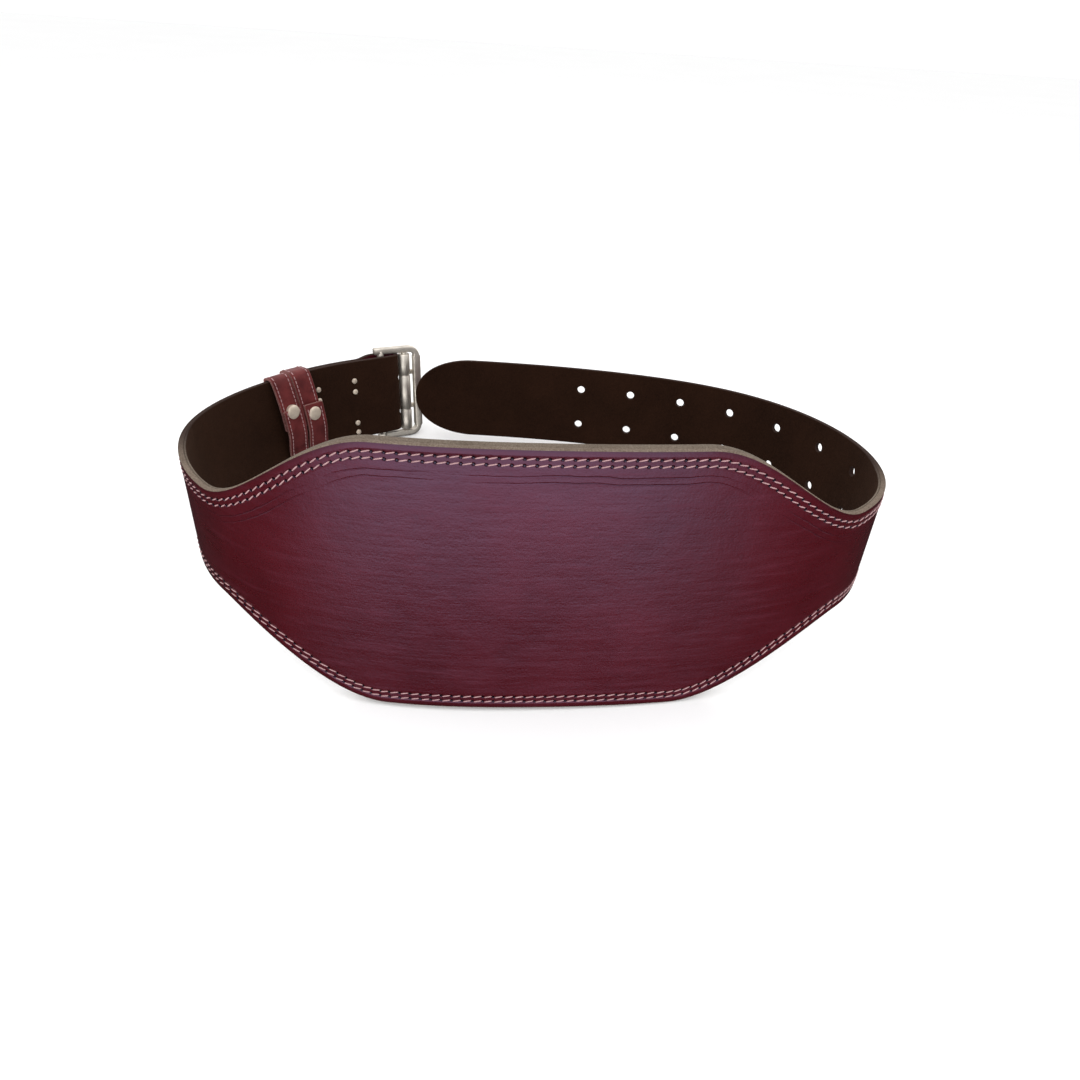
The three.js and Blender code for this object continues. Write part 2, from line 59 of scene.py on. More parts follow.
# %% [markdown]
# ## Sizes
# All sizes are in millimetres and are the same as in the solids. s runs along the outer face from
# the middle of the panel, plus to the tip and minus to the buckle. u runs in towards the waist
# and z across the belt.

# %% Sizes of the leather
PANEL_HALF = 76.2
STRAP_HALF = 31.75
TIP_REACH = 659.5
BUCKLE_REACH = 464
PANEL_STRAIGHT = 77
PANEL_TAPER = 104
NOSE_LENGTH = 47
NOSE_FULLNESS = 2.2
LEATHER = 3
PADDED = 5
PADDING_TAPER = 115
LINING = 1
LINING_END = 0.25
LINING_REACH = 270
GAP = 0.3
LAYER = LEATHER + GAP
PANEL_HEADING = 5.7

# %% Sizes of the holes, the fold and the buckle
HOLE_DIAMETER = 6
HOLE_COLUMNS = 7
HOLE_PITCH = 40.4
HOLE_ROWS = 29.4
LAST_HOLE = 136.5
FLAP_REACH = 66
SWELL_FROM_BAR = 6
SWELL_LENGTH = 18
BAR = 5.5
FRAME_HEIGHT = 77.2
FRAME_DEPTH = 5.2
SIDE_BAR = 5
END_BAR = 6.5
WINDOW = 27
FRAME_BACK = 5.6
FRAME_CORNER = 9
BUCKLE_DROP = 1.5
BUCKLE_TURN = math.radians(8)
ROLLER = 9.5
ROLLER_REACH = WINDOW - 2.7 - ROLLER / 2
EYE = BAR / 2 + GAP + 2.2
BAR_DEPTH = -EYE - GAP
OVER_BAR = BAR_DEPTH - BAR / 2 - GAP - LEATHER / 2
TURN_RADIUS = (LEATHER / 2 - OVER_BAR) / 2
TURN_DEPTH = LEATHER / 2 - TURN_RADIUS
TURN_REACH = ROLLER_REACH * math.cos(BUCKLE_TURN) - ROLLER / 2 - GAP - TURN_RADIUS - LEATHER / 2
PRONG_WIDTH = 5
PRONG_THICK = 3.6
SLOT_LENGTH = 8.5

# %% [markdown]
# ## The course of the belt
# The belt's bend changes along its length, so each half has a short table: how far along it is,
# and how many degrees the half would turn if it bent everywhere as it does there. Adding up small
# steps gives the course, and any place on the belt is then a look-up.

# %% Lay the two halves out
TIP_BENDS = [(0, 33), (0.15, 66), (0.24, 329), (0.325, 394), (0.41, 300), (0.5, 280), (0.6, 272), (0.725, 92), (1, 21)]
BUCKLE_BENDS = [(0, 23), (0.22, 110), (0.35, 254), (0.47, 160), (0.59, 246), (0.72, 155), (0.86, 108)]
BUCKLE_BENDS += [(0.895, 164), (0.94, 164), (0.97, 0), (1.1, 0)]
COURSE_STEP = 2


def lay_half(bends, reach, direction):
    """Adds up one half of the course. Gives a row each of s, x, y and heading."""
    count = math.ceil(reach * 1.1 / COURSE_STEP)
    at, turn = zip(*bends)
    here = (np.arange(count) + 0.5) * COURSE_STEP / reach
    bend = direction * np.radians(np.interp(here, at, turn)) * COURSE_STEP / reach
    heading = math.radians(PANEL_HEADING) + np.concatenate([[0], np.cumsum(bend)])
    middle = heading[:-1] + bend / 2
    x = np.concatenate([[0], np.cumsum(direction * COURSE_STEP * np.cos(middle))])
    y = np.concatenate([[0], np.cumsum(direction * COURSE_STEP * np.sin(middle))])
    return np.array([direction * COURSE_STEP * np.arange(count + 1), x, y, heading])


tip_half = lay_half(TIP_BENDS, TIP_REACH, 1)
buckle_half = lay_half(BUCKLE_BENDS, BUCKLE_REACH, -1)
course = np.concatenate([buckle_half[:, :0:-1], tip_half], axis=1)
print("course:", course.shape[1], "steps")


# %% Places on the belt
def heading_at(s):
    return np.interp(s, course[0], course[3])


def belt_point(s, u):
    """x and y of a place on the belt, before the belt is leaned back."""
    x, y, heading = (np.interp(s, course[0], row) for row in course[1:])
    return x - u * np.sin(heading), y + u * np.cos(heading)


def smooth(share):
    t = np.clip(share, 0, 1)
    return t * t * (3 - 2 * t)


def half_height(s):
    """Half of the belt's height, laid flat."""
    narrowing = smooth((np.abs(s) - PANEL_STRAIGHT) / PANEL_TAPER)
    half = PANEL_HALF + (STRAP_HALF - PANEL_HALF) * narrowing
    across = np.clip(1 - (TIP_REACH - s) / NOSE_LENGTH, 0, 1)
    return half * np.power(1 - across * across, 1 / NOSE_FULLNESS)


# %% [markdown]
# The belt leans back a little, as it stands on the panel's lower edge and the buckle's lower
# corner. The hinge in the frame gives that lean and where the buckle's bar is, so nothing here is
# fitted by eye.

# %% Lean the belt as its solids do
swing = next(joint for joint in frame["record"]["behaviour"]["joints"] if joint["name"] == "buckle_swing")
bar_x, bar_y = belt_point(-BUCKLE_REACH, BAR_DEPTH)
lean = Matrix.Rotation(-math.atan2(swing["axis"][1], swing["axis"][2]), 3, "X")
belt_place = Vector(swing["pos_m"]) * 1000 - lean @ Vector((bar_x, bar_y, -BUCKLE_DROP))
lean_rows = np.array(lean)
print("belt's middle:", [round(v, 2) for v in belt_place], "mm")


def to_world(points):
    """Millimetres of the upright belt to metres in the frame."""
    return (np.asarray(points, float) @ lean_rows.T + np.array(belt_place)) / 1000


def turn_to_world(vectors):
    return np.asarray(vectors, float) @ lean_rows.T


# %% [markdown]
# ## Colours and finishes
# Each finish is a short node tree that reads the piece's own coordinates or the attributes stored
# on it. Colours are given as they look on a screen and are turned to linear light.

# %% Helpers for materials
def paint(red, green, blue):
    linear = [v / 255 / 12.92 if v < 11 else ((v / 255 + 0.055) / 1.055) ** 2.4 for v in (red, green, blue)]
    return (*linear, 1)


def add(tree, kind, settings=None, inputs=None):
    """One node with its settings, and its inputs given as values or as other nodes' outputs."""
    made = tree.nodes.new(kind)
    for name, value in (settings or {}).items():
        setattr(made, name, value)
    for name, value in (inputs or {}).items():
        socket = made.inputs[name]
        if isinstance(value, bpy.types.NodeSocket):
            tree.links.new(value, socket)
        else:
            socket.default_value = value
    return made


def calculate(tree, operation, *values):
    made = add(tree, "ShaderNodeMath", {"operation": operation}, dict(enumerate(values)))
    return made.outputs[0]


def blend_colours(tree, factor, first, second, kind="MIX"):
    made = add(tree, "ShaderNodeMix", {"data_type": "RGBA", "blend_type": kind}, {0: factor, 6: first, 7: second})
    return made.outputs[2]


def noise(tree, vector, scale, detail=4, rough=0.55):
    inputs = {"Vector": vector, "Scale": scale, "Detail": detail, "Roughness": rough}
    return add(tree, "ShaderNodeTexNoise", None, inputs).outputs[0]


def spread(tree, value, low, high, low_to=0.0, high_to=1.0):
    inputs = {0: value, 1: low, 2: high, 3: low_to, 4: high_to}
    return add(tree, "ShaderNodeMapRange", {"clamp": True}, inputs).outputs[0]


def raise_surface(tree, height, distance, normal=None, strength=1.0):
    inputs = {"Height": height, "Distance": distance, "Strength": strength}
    if normal is not None:
        inputs["Normal"] = normal
    return add(tree, "ShaderNodeBump", None, inputs).outputs[0]


def new_finish(name):
    """A material with a Principled shader, and the piece's own coordinates."""
    material = bpy.data.materials.new(name)
    material.use_nodes = True
    tree = material.node_tree
    shader = tree.nodes["Principled BSDF"]
    place = add(tree, "ShaderNodeTexCoord").outputs["Object"]
    return material, tree, shader, place


# %% [markdown]
# The outer leather is smooth oxblood: a deep red with slight clouding, a fine pebble, a soft gloss
# and little dents where the needle went through, painted near black as shade in the holes. The dents
# lie at even runs along the edge, which are stored on the mesh together with the distance from the edge.

# %% Sizes of the stitching
STITCH_PITCH = 5.6
STITCH_ROWS = (4.7, 7.9)
STITCH_REACH = 266
NEEDLE_HOLE = 1


def needle_dents(tree):
    """1 in a needle hole, falling to 0 round it, from the edge run and edge distance."""
    run = add(tree, "ShaderNodeAttribute", {"attribute_name": "edge_run"}).outputs["Fac"]
    distance = add(tree, "ShaderNodeAttribute", {"attribute_name": "edge_distance"}).outputs["Fac"]
    shifted = calculate(tree, "ADD", run, STITCH_PITCH * 1000)
    along = calculate(tree, "SUBTRACT", calculate(tree, "MODULO", shifted, STITCH_PITCH), STITCH_PITCH / 2)
    dents = []
    for row in STITCH_ROWS:
        across = calculate(tree, "SUBTRACT", distance, row)
        squares = calculate(tree, "ADD", calculate(tree, "MULTIPLY", along, along), calculate(tree, "MULTIPLY", across, across))
        dents.append(spread(tree, calculate(tree, "SQRT", squares), NEEDLE_HOLE * 0.45, NEEDLE_HOLE, 1, 0))
    both = calculate(tree, "MAXIMUM", *dents)
    inside = calculate(tree, "LESS_THAN", calculate(tree, "ABSOLUTE", run), STITCH_REACH)
    return calculate(tree, "MULTIPLY", both, inside), distance


# %% Oxblood leather
def make_oxblood():
    material, tree, shader, place = new_finish("oxblood_grain")
    clouds = noise(tree, place, 14, 5, 0.6)
    flecks = noise(tree, place, 420, 3, 0.6)
    stretched = add(tree, "ShaderNodeMapping", None, {"Vector": place, "Scale": (30, 30, 340)}).outputs[0]
    streaks = noise(tree, stretched, 1, 4, 0.6)
    base = blend_colours(tree, spread(tree, clouds, 0.35, 0.68), paint(60, 7, 12), paint(72, 11, 18))
    base = blend_colours(tree, spread(tree, flecks, 0.56, 0.8, 0, 0.35), base, paint(42, 4, 8))
    base = blend_colours(tree, spread(tree, streaks, 0.55, 0.75, 0, 0.3), base, paint(88, 24, 36))
    dents, distance = needle_dents(tree)
    rim = spread(tree, distance, 0.2, 2.2, 0.55, 0)
    base = blend_colours(tree, rim, base, paint(34, 8, 12))
    # Painted shade: the needle holes are darkened nearly to black, as shade inside the holes.
    base = blend_colours(tree, calculate(tree, "MULTIPLY", dents, 0.95), base, paint(9, 2, 4))
    wander = calculate(tree, "MULTIPLY", calculate(tree, "SUBTRACT", noise(tree, place, 22, 3, 0.6), 0.5), 5.0)
    creases = []
    for run in (13.2, 16.6):
        off = calculate(tree, "ABSOLUTE", calculate(tree, "SUBTRACT", calculate(tree, "ADD", distance, wander), run))
        creases.append(spread(tree, off, 0.1, 0.5, 1, 0))
    height = add(tree, "ShaderNodeSeparateXYZ", None, {0: place}).outputs["Z"]
    patchy = calculate(tree, "MULTIPLY", spread(tree, noise(tree, place, 9, 2, 0.5), 0.42, 0.56), spread(tree, height, 0.08, 0.11))
    crease = calculate(tree, "MULTIPLY", calculate(tree, "MAXIMUM", *creases), patchy)
    # Painted shade: the crease lines below the top rows are darkened, as shade in the creases.
    base = blend_colours(tree, calculate(tree, "MULTIPLY", crease, 0.5), base, paint(40, 8, 18))
    tree.links.new(base, shader.inputs["Base Color"])
    pebble = add(tree, "ShaderNodeTexVoronoi", {"feature": "SMOOTH_F1"}, {"Vector": place, "Scale": 950}).outputs[0]
    rough = calculate(tree, "ADD", spread(tree, clouds, 0.3, 0.7, 0.25, 0.3), spread(tree, streaks, 0.4, 0.7, 0, 0.1))
    tree.links.new(rough, shader.inputs["Roughness"])
    channel = spread(tree, calculate(tree, "ABSOLUTE", calculate(tree, "SUBTRACT", distance, 6.3)), 1.6, 3.2)
    surface = raise_surface(tree, pebble, 0.00012, None, 0.35)
    surface = raise_surface(tree, streaks, 0.0002, surface, 0.5)
    surface = raise_surface(tree, clouds, 0.003, surface, 0.25)
    surface = raise_surface(tree, channel, 0.0004, surface, 0.6)
    surface = raise_surface(tree, calculate(tree, "SUBTRACT", 1.0, crease), 0.0003, surface, 0.7)
    surface = raise_surface(tree, calculate(tree, "SUBTRACT", 1.0, dents), 0.0009, surface, 0.9)
    tree.links.new(surface, shader.inputs["Normal"])
    shader.inputs["Specular IOR Level"].default_value = 0.45
    shader.inputs["Specular Tint"].default_value = (0.68, 0.62, 1, 1)
    return material


oxblood = make_oxblood()
print("finish:", oxblood.name)


# %% [markdown]
# The inner side is dark brown suede: matt, with a short nap that lies in soft patches. Sheen gives
# the nap its pale look at a slant.

# %% Brown suede
def make_suede():
    material, tree, shader, place = new_finish("brown_suede_nap")
    patches = noise(tree, place, 26, 6, 0.65)
    nap = noise(tree, place, 900, 3, 0.7)
    base = blend_colours(tree, spread(tree, patches, 0.3, 0.7), paint(24, 11, 6), paint(37, 20, 12))
    base = blend_colours(tree, spread(tree, nap, 0.35, 0.75, 0, 0.5), base, paint(46, 28, 17))
    tree.links.new(base, shader.inputs["Base Color"])
    shader.inputs["Roughness"].default_value = 0.95
    shader.inputs["Specular IOR Level"].default_value = 0.06
    shader.inputs["Sheen Weight"].default_value = 0.12
    shader.inputs["Sheen Roughness"].default_value = 0.5
    shader.inputs["Sheen Tint"].default_value = paint(150, 110, 84)
    surface = raise_surface(tree, nap, 0.00035, None, 0.6)
    surface = raise_surface(tree, patches, 0.002, surface, 0.3)
    tree.links.new(surface, shader.inputs["Normal"])
    return material


suede = make_suede()


# %% [markdown]
# Round the panel the cut edges aren't dyed: the leather's core and the foam behind it show as a
# grey-tan fibre. Along the two straps the edge is dyed brown, which an attribute on the mesh says.

# %% Cut edges
def make_cut_edge(name, pale, dark):
    material, tree, shader, place = new_finish(name)
    fibres = noise(tree, place, 1500, 4, 0.7)
    stains = noise(tree, place, 60, 4, 0.6)
    base = blend_colours(tree, spread(tree, fibres, 0.35, 0.7), dark, pale)
    base = blend_colours(tree, spread(tree, stains, 0.45, 0.75, 0, 0.5), base, dark)
    dyed = add(tree, "ShaderNodeAttribute", {"attribute_name": "dyed_edge"}).outputs["Fac"]
    base = blend_colours(tree, dyed, base, paint(46, 30, 24))
    tree.links.new(base, shader.inputs["Base Color"])
    shader.inputs["Roughness"].default_value = 0.9
    shader.inputs["Specular IOR Level"].default_value = 0.2
    tree.links.new(raise_surface(tree, fibres, 0.0004, None, 0.7), shader.inputs["Normal"])
    return material


leather_edge = make_cut_edge("leather_cut_edge", paint(138, 124, 110), paint(82, 68, 58))
foam_edge = make_cut_edge("lining_cut_edge", paint(128, 116, 103), paint(78, 66, 56))
keeper_edge = make_cut_edge("keeper_cut_edge", paint(150, 112, 106), paint(98, 54, 52))


# %% [markdown]
# The keepers are a redder, thinner leather. The thread is a pale pink twist, and the metal is
# satin nickel with fine wear.

# %% Keeper leather, thread and nickel
def make_keeper_leather():
    material, tree, shader, place = new_finish("keeper_grain")
    clouds = noise(tree, place, 90, 5, 0.6)
    flecks = noise(tree, place, 700, 3, 0.6)
    base = blend_colours(tree, spread(tree, clouds, 0.35, 0.7), paint(76, 18, 20), paint(108, 38, 38))
    base = blend_colours(tree, spread(tree, flecks, 0.55, 0.8, 0, 0.4), base, paint(54, 12, 16))
    tree.links.new(base, shader.inputs["Base Color"])
    shader.inputs["Roughness"].default_value = 0.5
    shader.inputs["Specular IOR Level"].default_value = 0.28
    surface = raise_surface(tree, flecks, 0.0002, None, 0.5)
    tree.links.new(raise_surface(tree, clouds, 0.001, surface, 0.4), shader.inputs["Normal"])
    return material


def make_thread():
    material, tree, shader, place = new_finish("pale_pink_thread")
    twist = noise(tree, place, 2600, 2, 0.5)
    wear = noise(tree, place, 120, 3, 0.5)
    base = blend_colours(tree, spread(tree, twist, 0.3, 0.7), paint(146, 108, 110), paint(196, 160, 160))
    base = blend_colours(tree, spread(tree, wear, 0.45, 0.75, 0, 0.35), base, paint(120, 84, 88))
    tree.links.new(base, shader.inputs["Base Color"])
    shader.inputs["Roughness"].default_value = 0.7
    tree.links.new(raise_surface(tree, twist, 0.0003, None, 0.7), shader.inputs["Normal"])
    return material


def make_nickel(name, bright, worn, low_gloss, high_gloss, metal):
    material, tree, shader, place = new_finish(name)
    wear = noise(tree, place, 160, 5, 0.6)
    scratches = noise(tree, place, 1200, 2, 0.5)
    tree.links.new(blend_colours(tree, spread(tree, wear, 0.3, 0.75), bright, worn), shader.inputs["Base Color"])
    tree.links.new(spread(tree, wear, 0.3, 0.75, low_gloss, high_gloss), shader.inputs["Roughness"])
    shader.inputs["Metallic"].default_value = metal
    tree.links.new(raise_surface(tree, scratches, 0.00005, None, 0.4), shader.inputs["Normal"])
    return material


keeper_grain = make_keeper_leather()
thread = make_thread()
nickel = make_nickel("satin_nickel", paint(218, 211, 200), paint(186, 178, 168), 0.4, 0.54, 0.88)
rivet_nickel = make_nickel("pale_rivet_nickel", paint(226, 212, 194), paint(190, 172, 156), 0.42, 0.56, 0.5)
print("finishes:", len(bpy.data.materials))


# %% [markdown]
# ## Cutting a piece of leather
# A real belt is cut flat and then bent, and that is how it is made here: an outline with holes is
# filled with small triangles, the sheet gets a wall with rounded edges, and every point is then
# set on the bent course. Both faces and the cut edge get their own finish.

# %% Flat patterns
def inward_normals(loop):
    """Unit normals of a closed loop that runs counter-clockwise round its material."""
    along = np.roll(loop, -1, axis=0) - np.roll(loop, 1, axis=0)
    along /= np.linalg.norm(along, axis=1)[:, None]
    return np.stack([-along[:, 1], along[:, 0]], axis=1)


def inside(points, loop):
    """Which points lie in a closed loop."""
    x, z = points[:, 0][:, None], points[:, 1][:, None]
    x0, z0 = loop[:, 0][None], loop[:, 1][None]
    x1, z1 = np.roll(loop[:, 0], -1)[None], np.roll(loop[:, 1], -1)[None]
    crosses = (z0 > z) != (z1 > z)
    reach = x0 + (z - z0) * (x1 - x0) / np.where(z1 == z0, 1, z1 - z0)
    return np.count_nonzero(crosses & (x < reach), axis=1) % 2 == 1


def nearest(points, loop):
    """Distance from each point to the nearest corner of a loop, and that corner's number."""
    offsets = points[:, None, :] - loop[None, :, :]
    squares = np.einsum("ijk,ijk->ij", offsets, offsets)
    which = np.argmin(squares, axis=1)
    return np.sqrt(squares[np.arange(len(points)), which]), which


def fill_pattern(loops, spacing):
    """Triangles that fill the first loop less the others."""
    low, high = loops[0].min(axis=0), loops[0].max(axis=0)
    grid = np.stack(np.meshgrid(np.arange(low[0], high[0], spacing), np.arange(low[1], high[1], spacing)), -1)
    grid = grid.reshape(-1, 2)
    grid = grid[inside(grid, loops[0])]
    for loop in loops:
        grid = grid[nearest(grid, loop)[0] > spacing * 0.6]
    for hole in loops[1:]:
        grid = grid[~inside(grid, hole)]
    points = np.concatenate([*loops, grid])
    edges = []
    start = 0
    for loop in loops:
        count = len(loop)
        edges += [(start + i, start + (i + 1) % count) for i in range(count)]
        start += count
    found = delaunay_2d_cdt([Vector(p) for p in points], edges, [], 0, 1e-6)
    corners = np.array([tuple(v) for v in found[0]])
    faces = np.array([face for face in found[2]])
    middles = corners[faces].mean(axis=1)
    keep = inside(middles, loops[0])
    for hole in loops[1:]:
        keep &= ~inside(middles, hole)
    where = {source: i for i, sources in enumerate(found[3]) for source in sources}
    rims = []
    start = 0
    for loop in loops:
        rims.append([where[start + i] for i in range(len(loop))])
        start += len(loop)
    return corners, faces[keep], rims


# %% From a pattern to a walled piece
def cut_piece(name, loops, spacing, place, wall, finishes, round_off=0.5, round_steps=3):
    """place(t, z, w) sets a point of the pattern, at a share w of the wall, on the belt.

    The first loop is the outline, the others are holes, all counter-clockwise round the material.
    The finishes are those of the face at w = 0, the face at w = 1 and the cut edge.
    """
    insets = [loop + inward_normals(loop) * round_off for loop in loops]
    corners, faces, rims = fill_pattern(insets, spacing)
    count = len(corners)
    depth = round_off / wall
    flat = [np.column_stack([corners, np.zeros(count)]), np.column_stack([corners, np.ones(count)])]
    triangles = [tuple(face) for face in faces] + [tuple(count + i for i in face[::-1]) for face in faces]
    marks = [0] * len(faces) + [1] * len(faces)
    total = 2 * count
    for loop, rim in zip(loops, rims):
        normals = inward_normals(loop)
        rings = [np.array(rim)]
        turns = [math.pi / 2 * k / round_steps for k in range(1, round_steps + 1)]
        levels = [(round_off * (1 - math.sin(a)), depth * (1 - math.cos(a))) for a in turns]
        levels += [(inset, 1 - w) for inset, w in reversed(levels)]
        for inset, w in levels:
            flat.append(np.column_stack([loop + normals * inset, np.full(len(loop), w)]))
            rings.append(np.arange(total, total + len(loop)))
            total += len(loop)
        rings.append(np.array(rim) + count)
        for upper, lower in zip(rings, rings[1:]):
            for i in range(len(loop)):
                j = (i + 1) % len(loop)
                triangles.append((upper[j], upper[i], lower[i], lower[j]))
                marks.append(2)
    flat = np.concatenate(flat)
    mesh = bpy.data.meshes.new(name)
    mesh.from_pydata(to_world(place(flat[:, 0], flat[:, 1], flat[:, 2])).tolist(), [], [[int(i) for i in t] for t in triangles])
    for finish in finishes:
        mesh.materials.append(finish)
    mesh.polygons.foreach_set("material_index", marks)
    mesh.polygons.foreach_set("use_smooth", [True] * len(marks))
    mesh.validate()
    made = bpy.data.objects.new(name, mesh)
    bpy.context.scene.collection.objects.link(made)
    print(name, "faces:", len(mesh.polygons))
    return made, flat


def check_outward(made):
    """A closed piece has its faces outwards when its volume is positive."""
    shape = bmesh.new()
    shape.from_mesh(made.data)
    volume = shape.calc_volume(signed=True)
    if volume < 0:
        bmesh.ops.reverse_faces(shape, faces=shape.faces)
        shape.to_mesh(made.data)
    loose = sum(1 for edge in shape.edges if len(edge.link_faces) != 2)
    shape.free()
    print(made.name, "volume:", round(abs(volume) * 1e6, 2), "cm3, open edges:", loose, "turned:", volume < 0)


# %% [markdown]
# ### The outer leather
# The outline runs from the rounded tip along the panel to the buckle, through the fold and back
# along the flap. The pattern coordinate t is s up to the fold, and goes on round the bar.

# %% Path of the leather's middle
BEND_AT = -BUCKLE_REACH - TURN_REACH
TURN_RUN = math.pi * TURN_RADIUS
PATTERN_END = BEND_AT - TURN_RUN - TURN_REACH - FLAP_REACH


def flap_depth(from_bar):
    over_bar = smooth((SWELL_FROM_BAR + SWELL_LENGTH - from_bar) / SWELL_LENGTH)
    flat = LEATHER / 2 - LAYER
    return flat + (OVER_BAR - flat) * over_bar


def leather_middle(t):
    """The middle of the leather's wall at pattern coordinate t."""
    turned = np.clip((BEND_AT - t) / TURN_RADIUS, 0, math.pi)
    from_bar = BEND_AT - TURN_RUN - t - TURN_REACH
    in_turn = (t < BEND_AT) & (turned < math.pi)
    s = np.where(t >= BEND_AT, t, np.where(in_turn, BEND_AT - TURN_RADIUS * np.sin(turned), from_bar - BUCKLE_REACH))
    turn_u = TURN_DEPTH + TURN_RADIUS * np.cos(turned)
    u = np.where(t >= BEND_AT, LEATHER / 2, np.where(in_turn, turn_u, flap_depth(from_bar)))
    return np.stack(belt_point(s, u), axis=-1)


def on_leather(t, z, w):
    middle = leather_middle(t)
    along = leather_middle(t + 0.3) - leather_middle(t - 0.3)
    along /= np.linalg.norm(along, axis=1)[:, None]
    across = np.stack([-along[:, 1], along[:, 0]], axis=1)
    place = middle + across * ((w - 0.5) * LEATHER)[:, None]
    return np.column_stack([place, z])


# %% Outline and holes
def leather_outline():
    """Upper edge from the tip to the flap's end, then the lower edge back, counter-clockwise."""
    nose = [TIP_REACH - NOSE_LENGTH * (1 - math.sin(math.radians(a))) for a in range(88, 0, -4)]
    nose += [TIP_REACH - 0.02 * NOSE_LENGTH * k * k / 36 for k in (0.4, 1, 2, 3, 4)]
    nose = sorted(nose, reverse=True)
    stations = np.concatenate([nose, np.arange(TIP_REACH - NOSE_LENGTH, PATTERN_END + 3, -2.5)])
    upper = np.column_stack([stations, half_height(np.maximum(stations, -BUCKLE_REACH))])
    corner = 3
    turns = np.radians(np.arange(0, 91, 15))
    end = np.column_stack([PATTERN_END + corner - corner * np.sin(turns), STRAP_HALF - corner + corner * np.cos(turns)])
    side = np.column_stack([np.full(23, PATTERN_END), np.linspace(STRAP_HALF - corner, corner - STRAP_HALF, 25)[1:-1]])
    upper = upper[upper[:, 0] > PATTERN_END + corner + 1]
    lower = upper[::-1] * [1, -1]
    return np.concatenate([upper, end, side, end[::-1] * [1, -1], lower])


def round_hole(t, z, diameter, corners=24):
    turns = np.linspace(0, 2 * math.pi, corners, endpoint=False)[::-1]
    return np.column_stack([t + diameter / 2 * np.cos(turns), z + diameter / 2 * np.sin(turns)])


def prong_slot(z):
    """The slot a prong comes through: from the outer side of the turn into the flap."""
    half = PRONG_WIDTH / 2 + 2 * GAP
    start = BEND_AT - TURN_RADIUS * math.acos(-TURN_DEPTH / TURN_RADIUS) - half
    end = BEND_AT - TURN_RUN - TURN_REACH - SLOT_LENGTH + half
    turns = np.radians(np.arange(90, -91, -15))
    first = np.column_stack([start + half * np.cos(turns), z + half * np.sin(turns)])
    last = np.column_stack([end - half * np.cos(turns), z - half * np.sin(turns)])
    run = np.linspace(start, end, 18)[1:-1]
    return np.concatenate([first, np.column_stack([run, np.full(16, z - half)]), last,
                           np.column_stack([run[::-1], np.full(16, z + half)])])


hole_places = [(TIP_REACH - LAST_HOLE - c * HOLE_PITCH, side * HOLE_ROWS / 2) for c in range(HOLE_COLUMNS) for side in (1, -1)]
leather_loops = [leather_outline()]
leather_loops += [round_hole(t, z, HOLE_DIAMETER) for t, z in hole_places]
leather_loops += [prong_slot(side * HOLE_ROWS / 2 - BUCKLE_DROP) for side in (1, -1)]
print("pattern:", round(TIP_REACH - PATTERN_END), "mm long,", len(leather_loops) - 1, "holes")


# %% Cut and bend the leather
belt_leather, leather_flat = cut_piece(
    "leather_strap", leather_loops, 3.6, on_leather, LEATHER, (oxblood, suede, leather_edge)
)
check_outward(belt_leather)

# %% [markdown]
# The dents of the needle need two numbers on every corner of the mesh: how far it is from the
# panel's edge, and how far along that edge. They are worked out in the flat pattern.


# %% Edge distance and run
def panel_edge():
    """The panel's upper edge at close steps, with its run from the middle."""
    s = np.arange(-LINING_REACH - 30, LINING_REACH + 30.5, 0.5)
    line = np.column_stack([s, half_height(s)])
    run = np.concatenate([[0], np.cumsum(np.linalg.norm(np.diff(line, axis=0), axis=1))])
    run -= np.interp(0, s, run)
    along = np.gradient(line, axis=0)
    along /= np.linalg.norm(along, axis=1)[:, None]
    return line, run, along


edge_line, edge_runs, edge_along = panel_edge()


def store_edge(made, flat):
    """Stores edge_distance, edge_run and dyed_edge. Far from the edge the run doesn't matter."""
    folded = np.column_stack([flat[:, 0], np.abs(flat[:, 1])])
    near = (half_height(np.maximum(folded[:, 0], -BUCKLE_REACH)) - folded[:, 1] < 30) & (np.abs(folded[:, 0]) < LINING_REACH + 20)
    distance = np.full(len(flat), 30.0)
    run = np.full(len(flat), 1000.0)
    found, which = nearest(folded[near], edge_line)
    offset = folded[near] - edge_line[which]
    ahead = np.einsum("ij,ij->i", offset, edge_along[which])
    distance[near] = np.sqrt(np.maximum(found * found - ahead * ahead, 0))
    run[near] = edge_runs[which] + ahead
    dyed = smooth((np.abs(flat[:, 0]) - 205) / 60)
    for title, values in (("edge_distance", distance), ("edge_run", run), ("dyed_edge", dyed)):
        layer = made.data.attributes.new(title, "FLOAT", "POINT")
        layer.data.foreach_set("value", values.astype(np.float32))


store_edge(belt_leather, leather_flat)


# %% [markdown]
# ### The lining
# Suede over foam, cut to the panel's outline. The foam is full behind the panel, thins out along
# the straps and is pressed down under the stitches, so its inner face is pillowed by moving its
# points, and each end is skived to a thin lip.

# %% Lining
def padding_at(s):
    padding = 1 - smooth((np.abs(s) - PANEL_STRAIGHT) / PADDING_TAPER)
    skived = smooth((LINING_REACH - np.abs(s)) / 24)
    return LINING_END + (LINING - LINING_END) * skived + (PADDED - LINING) * padding


def on_lining(t, z, w):
    edge = half_height(t) - np.abs(z)
    pillow = smooth((edge - 6) / 26) * smooth((PANEL_STRAIGHT + PADDING_TAPER + 10 - np.abs(t)) / 110)
    ripple = 0.35 * np.sin(t * 0.11 + 0.6) * np.sin(z * 0.13 + 0.4) + 0.2 * np.sin(t * 0.23 + z * 0.19)
    thick = padding_at(t) + pillow * (1.6 + ripple)
    x, y = belt_point(t, LEATHER + 0.06 + w * thick)
    return np.column_stack([x, y, z])


def lining_outline():
    s = np.arange(LINING_REACH, -LINING_REACH - 1, -2.5)
    upper = np.column_stack([s, half_height(s) - 0.15])
    side = np.linspace(STRAP_HALF, -STRAP_HALF, 26)[1:-1]
    left = np.column_stack([np.full(24, -LINING_REACH), side])
    return np.concatenate([upper, left, upper[::-1] * [1, -1], left[::-1] * [-1, 1]])


